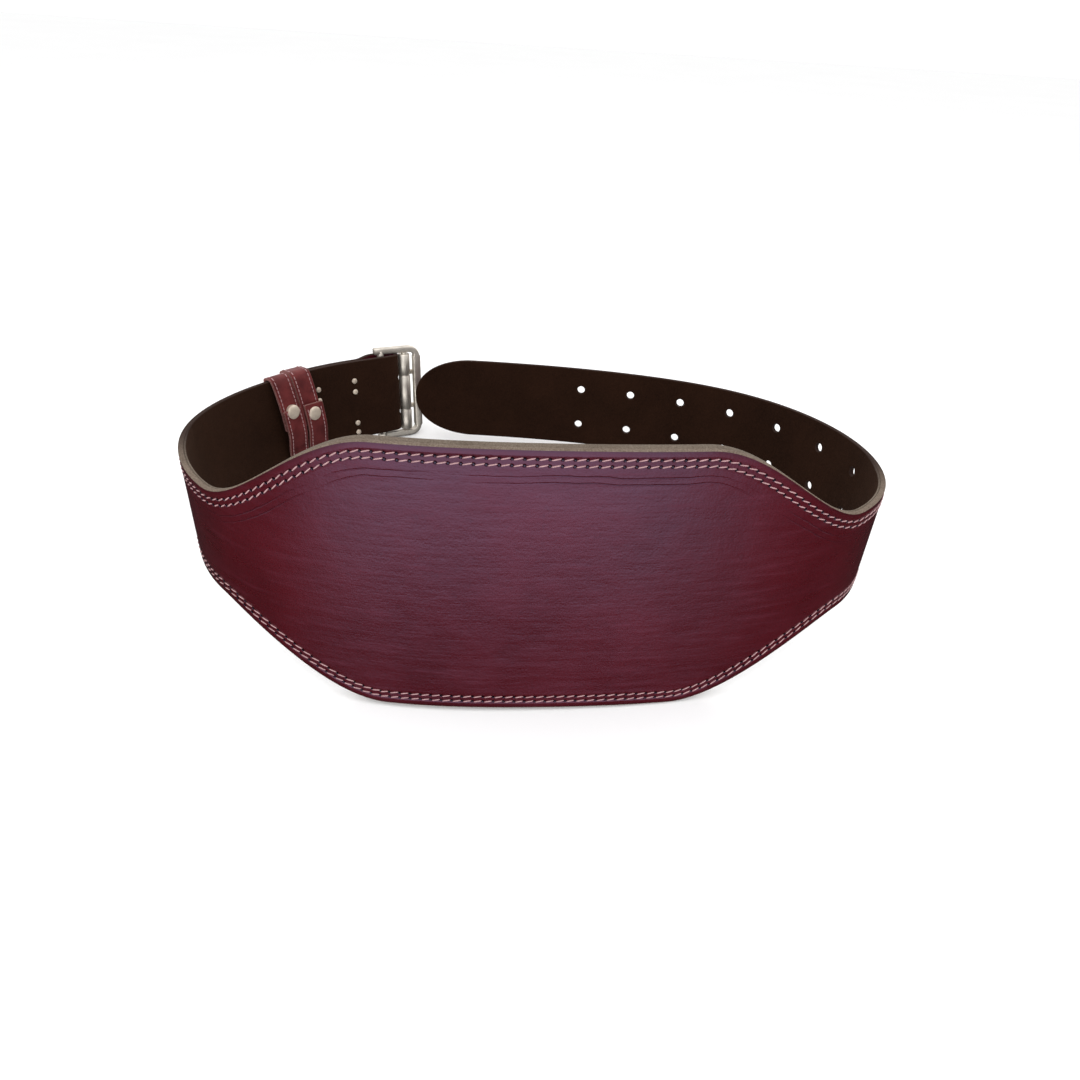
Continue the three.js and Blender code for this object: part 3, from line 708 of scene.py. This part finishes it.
suede_lining, lining_flat = cut_piece(
    "suede_lining_pad", [lining_outline()], 4.2, on_lining, PADDED, (foam_edge, suede, foam_edge), 0.6
)
check_outward(suede_lining)
store_edge(suede_lining, lining_flat)


def skive_ends(made, flat):
    """The two ends are skived and covered with suede, so no cut edge shows across the strap."""
    for face in made.data.polygons:
        t, z = np.abs(flat[list(face.vertices), :2]).mean(axis=0)
        if t > LINING_REACH - 1.5 and z < STRAP_HALF - 1.5:
            face.material_index = 1


skive_ends(suede_lining, lining_flat)

# %% [markdown]
# ## Stitches
# Two rows of thick pale thread run along both edges of the panel. One stitch is modelled, and a
# small node tree sets it on every point of a row. Each point carries the direction of the seam
# and of the surface, so a stitch always lies flat, slanted a little as a lockstitch is.


# %% A tree that sets a shape on points
def setting_tree(name):
    tree = bpy.data.node_groups.new(name, "GeometryNodeTree")
    sockets = (
        ("Points", "INPUT", "NodeSocketGeometry"),
        ("Shape", "INPUT", "NodeSocketObject"),
        ("Length", "INPUT", "NodeSocketFloat"),
        ("Thickness", "INPUT", "NodeSocketFloat"),
        ("Unevenness", "INPUT", "NodeSocketFloat"),
        ("Finish", "INPUT", "NodeSocketMaterial"),
        ("Pieces", "OUTPUT", "NodeSocketGeometry"),
    )
    for title, side, kind in sockets:
        tree.interface.new_socket(title, in_out=side, socket_type=kind)
    given = add(tree, "NodeGroupInput").outputs
    shape = add(tree, "GeometryNodeObjectInfo", None, {"Object": given["Shape"]}).outputs["Geometry"]
    directions = []
    for title in ("along", "outward"):
        read = add(tree, "GeometryNodeInputNamedAttribute", {"data_type": "FLOAT_VECTOR"}, {"Name": title})
        directions.append(read.outputs["Attribute"])
    first = add(tree, "FunctionNodeAlignRotationToVector", {"axis": "X"}, {"Vector": directions[0]})
    both = add(tree, "FunctionNodeAlignRotationToVector", {"axis": "Z", "pivot_axis": "X"},
               {"Rotation": first.outputs[0], "Vector": directions[1]})
    low = calculate(tree, "SUBTRACT", 1.0, given["Unevenness"])
    high = calculate(tree, "ADD", 1.0, given["Unevenness"])
    chance = add(tree, "FunctionNodeRandomValue", {"data_type": "FLOAT"}, {2: low, 3: high, "Seed": 11}).outputs[1]
    length = calculate(tree, "MULTIPLY", given["Length"], chance)
    scale = add(tree, "ShaderNodeCombineXYZ", None, {0: length, 1: given["Thickness"], 2: given["Thickness"]})
    placed = add(tree, "GeometryNodeInstanceOnPoints", None, {
        "Points": given["Points"], "Instance": shape, "Rotation": both.outputs[0], "Scale": scale.outputs[0],
    })
    real = add(tree, "GeometryNodeRealizeInstances", None, {"Geometry": placed.outputs[0]})
    coloured = add(tree, "GeometryNodeSetMaterial", None, {"Geometry": real.outputs[0], "Material": given["Finish"]})
    result = add(tree, "NodeGroupOutput")
    tree.links.new(coloured.outputs[0], result.inputs["Pieces"])
    return tree


set_on_points = setting_tree("set_on_points")


# %% Run the tree and keep its mesh
def points_object(name, places, along, outward):
    """A mesh of single points with two directions on each."""
    mesh = bpy.data.meshes.new(name)
    mesh.from_pydata(to_world(places).tolist(), [], [])
    for title, vectors in (("along", along), ("outward", outward)):
        layer = mesh.attributes.new(title, "FLOAT_VECTOR", "POINT")
        layer.data.foreach_set("vector", turn_to_world(vectors).astype(np.float32).ravel())
    made = bpy.data.objects.new(name, mesh)
    bpy.context.scene.collection.objects.link(made)
    return made


def set_pieces(made, shape, length, thickness, unevenness, finish):
    """Runs the tree on a points object, keeps the resulting mesh and takes the modifier off."""
    modifier = made.modifiers.new("set", "NODES")
    modifier.node_group = set_on_points
    given = {item.name: item.identifier for item in set_on_points.interface.items_tree if item.in_out == "INPUT"}
    modifier[given["Shape"]] = shape
    modifier[given["Length"]] = length
    modifier[given["Thickness"]] = thickness
    modifier[given["Unevenness"]] = unevenness
    modifier[given["Finish"]] = finish
    ready = made.evaluated_get(bpy.context.evaluated_depsgraph_get())
    mesh = bpy.data.meshes.new_from_object(ready)
    made.modifiers.clear()
    made.data = mesh
    mesh.name = made.name
    mesh.polygons.foreach_set("use_smooth", [True] * len(mesh.polygons))
    print(made.name, "faces:", len(mesh.polygons))
    return made


# %% One stitch
def spun(name, profile, sides, axis="X", arch=0.0):
    """A closed shape turned round X from (x, radius) pairs, in metres of its own."""
    shape = bmesh.new()
    rings = []
    for x, radius in profile:
        lift = arch * (1 - (2 * x) ** 2)
        ring = []
        for k in range(sides):
            turn = 2 * math.pi * k / sides
            ring.append(shape.verts.new((x, radius * math.cos(turn), radius * math.sin(turn) + lift)))
        rings.append(ring)
    for left, right in zip(rings, rings[1:]):
        for k in range(sides):
            shape.faces.new((left[k], left[(k + 1) % sides], right[(k + 1) % sides], right[k]))
    shape.faces.new(rings[0][::-1])
    shape.faces.new(rings[-1])
    bmesh.ops.recalc_face_normals(shape, faces=shape.faces)
    if axis == "Z":
        bmesh.ops.rotate(shape, verts=shape.verts, matrix=Matrix.Rotation(-math.pi / 2, 3, "Y"))
    mesh = bpy.data.meshes.new(name)
    shape.to_mesh(mesh)
    shape.free()
    made = bpy.data.objects.new(name, mesh)
    bpy.context.scene.collection.objects.link(made)
    return made


one_stitch = spun("one_stitch", [(-0.5, 0.2), (-0.36, 0.42), (-0.12, 0.5), (0.12, 0.5), (0.36, 0.42), (0.5, 0.2)], 6)
STITCH_LENGTH = 4.3
THREAD = 0.72
SLANT = math.radians(13)


# %% Rows along the panel
def seam_points(rows, u):
    """Places and directions of the stitches on the panel's outer face, along both edges."""
    runs = np.arange(-math.floor(STITCH_REACH / STITCH_PITCH), math.floor(STITCH_REACH / STITCH_PITCH) + 1) * STITCH_PITCH
    base = np.column_stack([np.interp(runs, edge_runs, edge_line[:, k]) for k in (0, 1)])
    along = np.column_stack([np.interp(runs, edge_runs, edge_along[:, k]) for k in (0, 1)])
    along /= np.linalg.norm(along, axis=1)[:, None]
    places, directions, outwards = [], [], []
    for edge in (1, -1):
        for row in rows:
            flat = (base + np.column_stack([along[:, 1], -along[:, 0]]) * row) * [1, edge]
            s = flat[:, 0]
            x, y = belt_point(s, u)
            heading = heading_at(s)
            seam = np.column_stack([along[:, 0], along[:, 1] * edge])
            slanted = seam * math.cos(SLANT) + np.column_stack([-seam[:, 1], seam[:, 0]]) * math.sin(SLANT)
            places.append(np.column_stack([x, y, flat[:, 1]]))
            directions.append(np.column_stack([slanted[:, 0] * np.cos(heading), slanted[:, 0] * np.sin(heading), slanted[:, 1]]))
            outwards.append(np.column_stack([np.sin(heading), -np.cos(heading), 0 * heading]))
    return np.concatenate(places), np.concatenate(directions), np.concatenate(outwards)


outer_seam = points_object("panel_stitches", *seam_points(STITCH_ROWS, -0.05))
set_pieces(outer_seam, one_stitch, STITCH_LENGTH / 1000, THREAD / 1000, 0.05, thread)

# %% [markdown]
# ## Rivets
# The rivets are nickel domes. A small one is turned once and set on the eight places beside the
# buckle, on both sides of the strap. A larger one closes each keeper.

# %% Strap rivets
RIVET_COLUMNS = [(0.42, (0.52, 0.24, -0.58, -0.83)), (0.91, (0.49, 0.22, -0.58, -0.83))]
RIVET_HEAD = 4.2
dome = [(-0.7, 0.46), (-0.12, 0.5), (0.05, 0.5), (0.12, 0.47), (0.19, 0.38), (0.235, 0.24), (0.25, 0.09)]
one_dome = spun("one_dome", dome, 20, "Z")
low_dome = spun("low_dome", [(x * 0.6, r) for x, r in dome], 28, "Z")


def strap_rivet_points():
    places, directions, outwards = [], [], []
    for along, heights in RIVET_COLUMNS:
        for z in (height * STRAP_HALF for height in heights):
            s = along * FLAP_REACH - BUCKLE_REACH
            heading = float(heading_at(s))
            for u, sign in ((LEATHER + 0.2, -1), (-LAYER - 0.2, 1)):
                x, y = belt_point(s, u)
                places.append((float(x), float(y), z))
                directions.append((math.cos(heading), math.sin(heading), 0))
                outwards.append((sign * math.sin(heading), -sign * math.cos(heading), 0))
    return places, directions, outwards


strap_rivets = points_object("strap_rivet_domes", *strap_rivet_points())
set_pieces(strap_rivets, one_dome, RIVET_HEAD / 1000, RIVET_HEAD / 1000, 0, rivet_nickel)

# %% [markdown]
# ## Keepers
# Each keeper is a strip with stitched edges, bent round the strap and riveted to itself. It bows
# away from the suede so that the tip can pass, and its free end shows a cut edge.

# %% Sizes of the keepers
KEEPER_WIDTH = 17.6
KEEPER_WALL = 1.8
KEEPER_SLACK = 0.6
KEEPER_STAND = 1
KEEPER_BOW = 3.2
KEEPER_CORNER = 1.9
KEEPER_LAP = 14
KEEPER_LEAN = 0.14
KEEPER_RIVET = 10.4
KEEPER_TOP = STRAP_HALF + KEEPER_SLACK + KEEPER_WALL / 2
RIVET_DOME = 0.9
KEEPERS = {
    "keeper_right": dict(from_bar=FLAP_REACH + 5.9, flap_shift=1.58, rivet_height=1.9,
                         far=-LAYER - GAP - RIVET_DOME - KEEPER_SLACK),
    "keeper_left": dict(from_bar=FLAP_REACH + 5.9 + KEEPER_WIDTH + 0.5, flap_shift=0, rivet_height=7.9,
                        far=-KEEPER_SLACK),
}


def keeper_near(z):
    share = z / KEEPER_TOP
    return LEATHER + KEEPER_STAND + KEEPER_BOW * (1 - share * share) + KEEPER_WALL / 2


# %% Path of a keeper's strip
def keeper_line(keeper):
    """Close points of the strip's middle line as (u, z), from under the lap round to over it."""
    near, far = keeper_near(KEEPER_TOP), keeper["far"] - KEEPER_WALL / 2
    shift = KEEPER_WALL + GAP
    rising = [(keeper_near(z), z) for z in np.linspace(-0.5 * KEEPER_LAP, KEEPER_TOP - 2 * KEEPER_CORNER, 16)]
    corners = [(near, KEEPER_TOP, 0), (far, KEEPER_TOP, 90), (far, -KEEPER_TOP, 180), (near, -KEEPER_TOP, 270)]
    line = rising
    for u, z, start in corners:
        middle_u = u + (-KEEPER_CORNER if start in (0, 270) else KEEPER_CORNER)
        middle_z = z + (-KEEPER_CORNER if start in (0, 90) else KEEPER_CORNER)
        for turned in range(0, 91, 15):
            angle = math.radians(start + turned)
            line.append((middle_u + KEEPER_CORNER * math.cos(angle), middle_z + KEEPER_CORNER * math.sin(angle)))
    for share in np.linspace(-1.9, 0.7, 17):
        z = share * KEEPER_LAP
        line.append((keeper_near(z) + shift * float(smooth((share + 1.8) / 1.2)), z))
    line = np.array(line)
    run = np.concatenate([[0], np.cumsum(np.linalg.norm(np.diff(line, axis=0), axis=1))])
    fine = np.arange(0, run[-1], 1.2)
    fine = np.append(fine, run[-1])
    return np.column_stack([np.interp(fine, run, line[:, k]) for k in (0, 1)]), fine


def keeper_place(keeper, a, b, w):
    """A point of the strip: a along its line, b across its width, w through its wall."""
    line, run = keeper["line"], keeper["run"]
    at = lambda a: np.column_stack([np.interp(a, run, line[:, k]) for k in (0, 1)])
    along = at(a + 0.6) - at(a - 0.6)
    along /= np.linalg.norm(along, axis=1)[:, None]
    across = np.stack([along[:, 1], -along[:, 0]], axis=1)
    place = at(a) - across * ((w - 0.5) * KEEPER_WALL)[:, None]
    flap = smooth((a / run[-1] - 0.5) * 2)
    s = KEEPER_LEAN * place[:, 1] - keeper["flap_shift"] * flap + b + keeper["from_bar"] - BUCKLE_REACH
    x, y = belt_point(s, place[:, 0])
    return np.column_stack([x, y, place[:, 1]])


# %% Keeper strips with their stitches
def strip_outline(length, width, corner=1.5):
    turns = np.radians(np.arange(0, 90, 30))
    loop = []
    for (x, y), start in (((length - corner, width / 2 - corner), 0), ((corner, width / 2 - corner), 90),
                          ((corner, corner - width / 2), 180), ((length - corner, corner - width / 2), 270)):
        for turn in turns + math.radians(start):
            loop.append((x + corner * math.cos(turn), y + corner * math.sin(turn)))
    loop = np.array(loop)
    closed = np.vstack([loop, loop[:1]])
    run = np.concatenate([[0], np.cumsum(np.linalg.norm(np.diff(closed, axis=0), axis=1))])
    fine = np.linspace(0, run[-1], int(run[-1] / 1.2), endpoint=False)
    return np.column_stack([np.interp(fine, run, closed[:, k]) for k in (0, 1)])


def keeper_seam(keeper, inset=2.6, pitch=3.1):
    runs = np.arange(3, keeper["run"][-1] - 2, pitch)
    places, directions, outwards = [], [], []
    for b in (KEEPER_WIDTH / 2 - inset, inset - KEEPER_WIDTH / 2):
        width = np.full(len(runs), b)
        top = keeper_place(keeper, runs, width, np.full(len(runs), -0.02))
        ahead = keeper_place(keeper, runs + 0.5, width, np.full(len(runs), -0.02))
        under = keeper_place(keeper, runs, width, np.full(len(runs), 0.98))
        places.append(top)
        directions.append(ahead - top)
        outwards.append(top - under)
    return np.concatenate(places), np.concatenate(directions), np.concatenate(outwards)


keeper_strips, keeper_seams = {}, {}
for name, keeper in KEEPERS.items():
    keeper["line"], keeper["run"] = keeper_line(keeper)
    outline = strip_outline(keeper["run"][-1], KEEPER_WIDTH)
    keeper_strips[name], _ = cut_piece(
        name + "_strip", [outline], 1.8, lambda a, b, w: keeper_place(keeper, a, b, w), KEEPER_WALL,
        (keeper_grain, keeper_edge, keeper_edge), 0.35
    )
    check_outward(keeper_strips[name])
    keeper_seams[name] = points_object(name + "_stitches", *keeper_seam(keeper))
    set_pieces(keeper_seams[name], one_stitch, 0.0025, 0.0007, 0.06, thread)


# %% Keeper rivets
def keeper_rivet_point(keeper):
    """The rivet stands square on the bowed strip."""
    z = keeper["rivet_height"]
    s = KEEPER_LEAN * z - keeper["flap_shift"] / 2 + keeper["from_bar"] - BUCKLE_REACH
    heading = float(heading_at(s))
    tilt = math.atan(2 * KEEPER_BOW * z / KEEPER_TOP**2)
    rise = KEEPER_WALL * 1.5 + GAP + 0.2
    x, y = belt_point(s, keeper_near(z) + rise * math.cos(tilt))
    square = (-math.sin(heading) * math.cos(tilt), math.cos(heading) * math.cos(tilt), math.sin(tilt))
    return [(float(x), float(y), z + rise * math.sin(tilt))], [(math.cos(heading), math.sin(heading), 0)], [square]


keeper_domes = {}
for name, keeper in KEEPERS.items():
    keeper_domes[name] = points_object(name + "_rivet_dome", *keeper_rivet_point(keeper))
    set_pieces(keeper_domes[name], low_dome, KEEPER_RIVET / 1000, KEEPER_RIVET / 1000, 0, rivet_nickel)

# %% [markdown]
# ## The buckle
# The frame is a forged U of rounded flat bar with a round bar across its open end and a pin for
# the roller. Each section is swept along its path, with the corners of the section rounded.


# %% Sweeping a section along a path
def rounded_section(width, depth, corner, steps=4):
    loop = []
    for (x, y), start in (((width / 2 - corner, depth / 2 - corner), 0), ((corner - width / 2, depth / 2 - corner), 90),
                          ((corner - width / 2, corner - depth / 2), 180), ((width / 2 - corner, corner - depth / 2), 270)):
        for k in range(steps + 1):
            turn = math.radians(start + 90 * k / steps)
            loop.append((x + corner * math.cos(turn), y + corner * math.sin(turn)))
    return np.array(loop)


def buckle_place(points):
    """From the buckle's own axes (X to the end bar, Y outwards, Z along the bar) to the belt's."""
    turn = float(heading_at(-BUCKLE_REACH)) + math.pi - BUCKLE_TURN
    x = bar_x + points[:, 0] * math.cos(turn) - points[:, 1] * math.sin(turn)
    y = bar_y + points[:, 0] * math.sin(turn) + points[:, 1] * math.cos(turn)
    return to_world(np.column_stack([x, y, points[:, 2] - BUCKLE_DROP]))


def sweep(shape, path, side, across, sections):
    """Adds a closed bar to a bmesh: at each point of the path a section in the side and across directions."""
    rings = []
    for here, out, up, section in zip(path, side, across, sections):
        ring = here + section[:, :1] * out + section[:, 1:] * up
        rings.append([shape.verts.new(p) for p in buckle_place(ring)])
    count = len(rings[0])
    for left, right in zip(rings, rings[1:]):
        for k in range(count):
            shape.faces.new((left[k], left[(k + 1) % count], right[(k + 1) % count], right[k]))
    shape.faces.new(rings[0][::-1])
    shape.faces.new(rings[-1])


def finish_shape(shape, name, finish):
    bmesh.ops.recalc_face_normals(shape, faces=shape.faces)
    mesh = bpy.data.meshes.new(name)
    shape.to_mesh(mesh)
    shape.free()
    mesh.materials.append(finish)
    mesh.polygons.foreach_set("use_smooth", [True] * len(mesh.polygons))
    made = bpy.data.objects.new(name, mesh)
    bpy.context.scene.collection.objects.link(made)
    print(name, "faces:", len(mesh.polygons))
    return made


# %% Frame
def frame_path():
    """The middle of the U's bar with the direction away from the window at each point."""
    side_z = FRAME_HEIGHT / 2 - SIDE_BAR / 2
    end_x = WINDOW + END_BAR / 2
    corner = FRAME_CORNER - SIDE_BAR / 2
    points, outs = [], []
    for x in (-FRAME_BACK, 0.6 - FRAME_BACK, 2, 8, 14):
        points.append((x, 0, -side_z))
        outs.append((0, 0, -1))
    for centre_z, start in ((corner - side_z, -90), (side_z - corner, 0)):
        for k in range(9):
            turn = math.radians(start + 90 * k / 8)
            points.append((end_x - corner + corner * math.cos(turn), 0, centre_z + corner * math.sin(turn)))
            outs.append((math.cos(turn), 0, math.sin(turn)))
    for x in (14, 8, 2, 0.6 - FRAME_BACK, -FRAME_BACK):
        points.append((x, 0, side_z))
        outs.append((0, 0, 1))
    return np.array(points, float), np.array(outs, float)


def add_rod(shape, x, profile):
    """A turned rod on the line x, from (z, radius) pairs."""
    turns = np.linspace(0, 2 * math.pi, 28, endpoint=False)
    circle = np.column_stack([np.cos(turns), np.sin(turns)])
    path = np.array([(x, 0, z) for z, _ in profile], float)
    sections = [circle * radius for _, radius in profile]
    sweep(shape, path, [np.array([1.0, 0, 0])] * len(profile), [np.array([0, 1.0, 0])] * len(profile), sections)


def make_frame():
    shape = bmesh.new()
    path, outs = frame_path()
    last = len(path) - 1
    sections = []
    for i in range(len(path)):
        width = END_BAR if abs(path[i][2]) < FRAME_HEIGHT / 2 - FRAME_CORNER + 1 else SIDE_BAR
        shrink = 0.8 if i in (0, last) else 1
        sections.append(rounded_section(width * shrink, FRAME_DEPTH * shrink, 1.2 * shrink))
    sweep(shape, path, outs, [np.array([0, 1.0, 0])] * len(path), sections)
    reach = FRAME_HEIGHT / 2 - SIDE_BAR / 2
    add_rod(shape, 0, [(-reach, BAR / 2), (-reach + 4, BAR / 2), (reach - 4, BAR / 2), (reach, BAR / 2)])
    add_rod(shape, ROLLER_REACH, [(-reach, 2), (reach, 2)])
    return finish_shape(shape, "buckle_frame_forged", nickel)


buckle_frame = make_frame()

# %% [markdown]
# The roller is a rolled tube with a shallow groove under each prong, and the prongs are flat
# forged tongues with an eye round the bar.


# %% Roller
def make_roller():
    half = FRAME_HEIGHT / 2 - SIDE_BAR - 1.2
    radius, bore, groove = ROLLER / 2, 2.3, 0.6
    profile = [(-half, bore), (-half, radius - 0.5), (-half + 0.5, radius)]
    for side in (-1, 1):
        z = side * HOLE_ROWS / 2
        profile += [(z - 1.1, radius), (z - 0.5, radius - groove), (z + 0.5, radius - groove), (z + 1.1, radius)]
    profile += [(half - 0.5, radius), (half, radius - 0.5), (half, bore), (-half, bore)]
    shape = bmesh.new()
    sides = 40
    rings = []
    for z, r in profile[:-1]:
        turns = np.linspace(0, 2 * math.pi, sides, endpoint=False)
        ring = np.column_stack([ROLLER_REACH + r * np.cos(turns), r * np.sin(turns), np.full(sides, z)])
        rings.append([shape.verts.new(p) for p in buckle_place(ring)])
    for left, right in zip(rings, rings[1:] + rings[:1]):
        for k in range(sides):
            shape.faces.new((left[k], left[(k + 1) % sides], right[(k + 1) % sides], right[k]))
    return finish_shape(shape, "buckle_roller_tube", nickel)


buckle_roller = make_roller()


# %% Prongs
def prong_path():
    over_roller = ROLLER / 2 + GAP + PRONG_THICK / 2
    over_end = FRAME_DEPTH / 2 + GAP + PRONG_THICK / 2
    eye_top = EYE - PRONG_THICK / 2
    frame_end = WINDOW + END_BAR
    marks = [(0, eye_top), (ROLLER_REACH * 0.18, eye_top), (ROLLER_REACH * 0.6, over_roller * 0.94), (ROLLER_REACH, over_roller),
             (frame_end - END_BAR / 2, (over_roller + over_end) / 2 + GAP), (frame_end + 1.9, over_end)]
    marks = np.array(marks)
    run = np.concatenate([[0], np.cumsum(np.linalg.norm(np.diff(marks, axis=0), axis=1))])
    slopes = np.gradient(marks, run, axis=0)
    line = []
    for k in range(len(marks) - 1):
        step = run[k + 1] - run[k]
        for t in np.linspace(0, 1, 7)[:-1]:
            blend = np.array([2 * t**3 - 3 * t**2 + 1, (t**3 - 2 * t**2 + t) * step, -2 * t**3 + 3 * t**2, (t**3 - t**2) * step])
            line.append(blend @ np.array([marks[k], slopes[k], marks[k + 1], slopes[k + 1]]))
    line.append(marks[-1])
    return np.array(line)


def make_prong(name, side):
    shape = bmesh.new()
    line = prong_path()
    along = np.gradient(line, axis=0)
    along /= np.linalg.norm(along, axis=1)[:, None]
    z = side * HOLE_ROWS / 2
    path = np.column_stack([line, np.full(len(line), z)])
    ups = np.column_stack([-along[:, 1], along[:, 0], np.zeros(len(line))])
    shares = np.clip((line[:, 0] - ROLLER_REACH) / (line[-1, 0] - ROLLER_REACH), 0, 1)
    sections = []
    for i, share in enumerate(shares):
        shrink = 0.62 if i == len(line) - 1 else 1
        width = PRONG_WIDTH * (1 - 0.45 * share) * shrink
        sections.append(rounded_section(width, PRONG_THICK * shrink, min(1.1, width * 0.3)))
    sweep(shape, path, [np.array([0, 0, 1.0])] * len(path), ups, sections)
    outer, bore, half = EYE, BAR / 2 + GAP, PRONG_WIDTH / 2
    rings = []
    for dz, r in ((-half, bore), (-half, outer - 0.6), (-half + 0.6, outer), (half - 0.6, outer), (half, outer - 0.6), (half, bore)):
        turns = np.linspace(0, 2 * math.pi, 28, endpoint=False)
        ring = np.column_stack([r * np.cos(turns), r * np.sin(turns), np.full(28, z + dz)])
        rings.append([shape.verts.new(p) for p in buckle_place(ring)])
    for left, right in zip(rings, rings[1:] + rings[:1]):
        for k in range(28):
            shape.faces.new((left[k], left[(k + 1) % 28], right[(k + 1) % 28], right[k]))
    return finish_shape(shape, name, nickel)


upper_prong = make_prong("prong_upper_tongue", 1)
lower_prong = make_prong("prong_lower_tongue", -1)

# %% [markdown]
# ## Ride and replace
# Each finished piece rides on its body and stands for its solids.

# %% Hand the pieces to the frame
for helper in (one_stitch, one_dome, low_dome):
    bpy.data.objects.remove(helper)

riders = [
    (belt_leather, "belt", "oxblood_leather", ["belt_leather"]),
    (suede_lining, "belt", "brown_suede", ["suede_lining"]),
    (outer_seam, "belt", "oxblood_leather", []),
    (strap_rivets, "belt", "nickel_plate", ["strap_rivet_%d" % n for n in range(1, 9)]),
    (buckle_frame, "buckle", "nickel_plate", ["buckle_frame"]),
    (buckle_roller, "roller", "nickel_plate", ["buckle_roller"]),
    (upper_prong, "upper_prong", "nickel_plate", ["prong_upper"]),
    (lower_prong, "lower_prong", "nickel_plate", ["prong_lower"]),
]
for name in KEEPERS:
    riders.append((keeper_strips[name], "belt", "keeper_leather", [name]))
    riders.append((keeper_seams[name], "belt", "keeper_leather", []))
    riders.append((keeper_domes[name], "belt", "nickel_plate", [name.replace("keeper", "keeper_rivet")]))
for piece, body, finish, nodes in riders:
    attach(piece, body)
    if nodes:
        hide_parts(*nodes)
print("pieces:", len(riders))

# %% [markdown]
# ## Stage, light and camera
# The belt stands on a plain pale floor. A broad light in front and above gives the upper half of
# the panel its soft sheen. The camera was worked out from the belt's outline, holes and rivets,
# in the upright belt's own axes, and is leaned with it.


# %% Floor
def make_floor():
    material, tree, shader, place = new_finish("pale_floor")
    grain = noise(tree, place, 3, 3, 0.5)
    tree.links.new(blend_colours(tree, grain, paint(250, 250, 250), paint(246, 246, 246)), shader.inputs["Base Color"])
    shader.inputs["Roughness"].default_value = 0.9
    shape = bmesh.new()
    corners = [shape.verts.new((x, y, 0)) for x, y in ((-6, -6), (6, -6), (6, 6), (-6, 6))]
    shape.faces.new(corners)
    return finish_shape(shape, "floor", material)


floor = make_floor()
floor.visible_glossy = False


# %% Lights
def add_light(name, place, aim, size, power, colour):
    data = bpy.data.lights.new(name, "AREA")
    data.shape = "RECTANGLE"
    data.size, data.size_y = size
    data.energy = power
    data.color = colour
    made = bpy.data.objects.new(name, data)
    made.location = place
    made.rotation_euler = (Vector(aim) - Vector(place)).to_track_quat("-Z", "Y").to_euler()
    bpy.context.scene.collection.objects.link(made)


add_light("front_window", (0.1, -1.5, 0.55), (0, 0, 0.05), (1.6, 0.7), 8, (0.95, 0.96, 1))
add_light("overhead", (-0.2, -0.2, 1.6), (0, 0, 0), (1.8, 1.4), 10, (1, 1, 1))
add_light("back_fill", (0.4, 1.4, 1.1), (0, 0.1, 0), (1.4, 1.0), 5, (1, 0.98, 0.95))

def make_studio():
    """White above, a pale band below the horizon that the leather shines with, and dark under it."""
    world = bpy.data.worlds.new("studio")
    world.use_nodes = True
    tree = world.node_tree
    direction = add(tree, "ShaderNodeTexCoord").outputs["Generated"]
    axes = add(tree, "ShaderNodeSeparateXYZ", None, {0: direction}).outputs
    height = axes["Z"]
    sideways = calculate(tree, "ABSOLUTE", axes["X"])
    shine = calculate(tree, "MULTIPLY", spread(tree, height, -0.45, -0.35), spread(tree, sideways, 0.4, 0.68, 1, 0))
    shine = calculate(tree, "MULTIPLY_ADD", shine, 3.4, 0.03)
    white = calculate(tree, "GREATER_THAN", height, -0.02)
    strength = add(tree, "ShaderNodeMix", {"data_type": "FLOAT"}, {0: white, 2: shine, 3: 1.05}).outputs[0]
    tree.links.new(strength, tree.nodes["Background"].inputs["Strength"])
    tree.nodes["Background"].inputs["Color"].default_value = (1, 1, 1, 1)
    bpy.context.scene.world = world


make_studio()
bpy.context.scene.view_settings.view_transform = "Standard"

# %% Camera
CAMERA_PLACE = (0.42, -282.2, 196.8)
CAMERA_PITCH = 30.52
CAMERA_ROLL = 3.54
FOCAL_PIXELS = 698.67
PHOTO_PIXELS = 1080

camera_data = bpy.data.cameras.new("camera")
camera_data.sensor_width = 36
camera_data.lens = FOCAL_PIXELS / PHOTO_PIXELS * 36
camera_data.clip_start = 0.01
camera = bpy.data.objects.new("camera", camera_data)
turn = lean.to_4x4() @ Matrix.Rotation(math.radians(90 - CAMERA_PITCH), 4, "X") @ Matrix.Rotation(math.radians(CAMERA_ROLL), 4, "Z")
camera.matrix_world = Matrix.Translation(Vector(to_world([CAMERA_PLACE])[0])) @ turn
bpy.context.scene.collection.objects.link(camera)
bpy.context.scene.camera = camera
print("camera:", [round(v, 3) for v in camera.location], "lens:", round(camera_data.lens, 2))
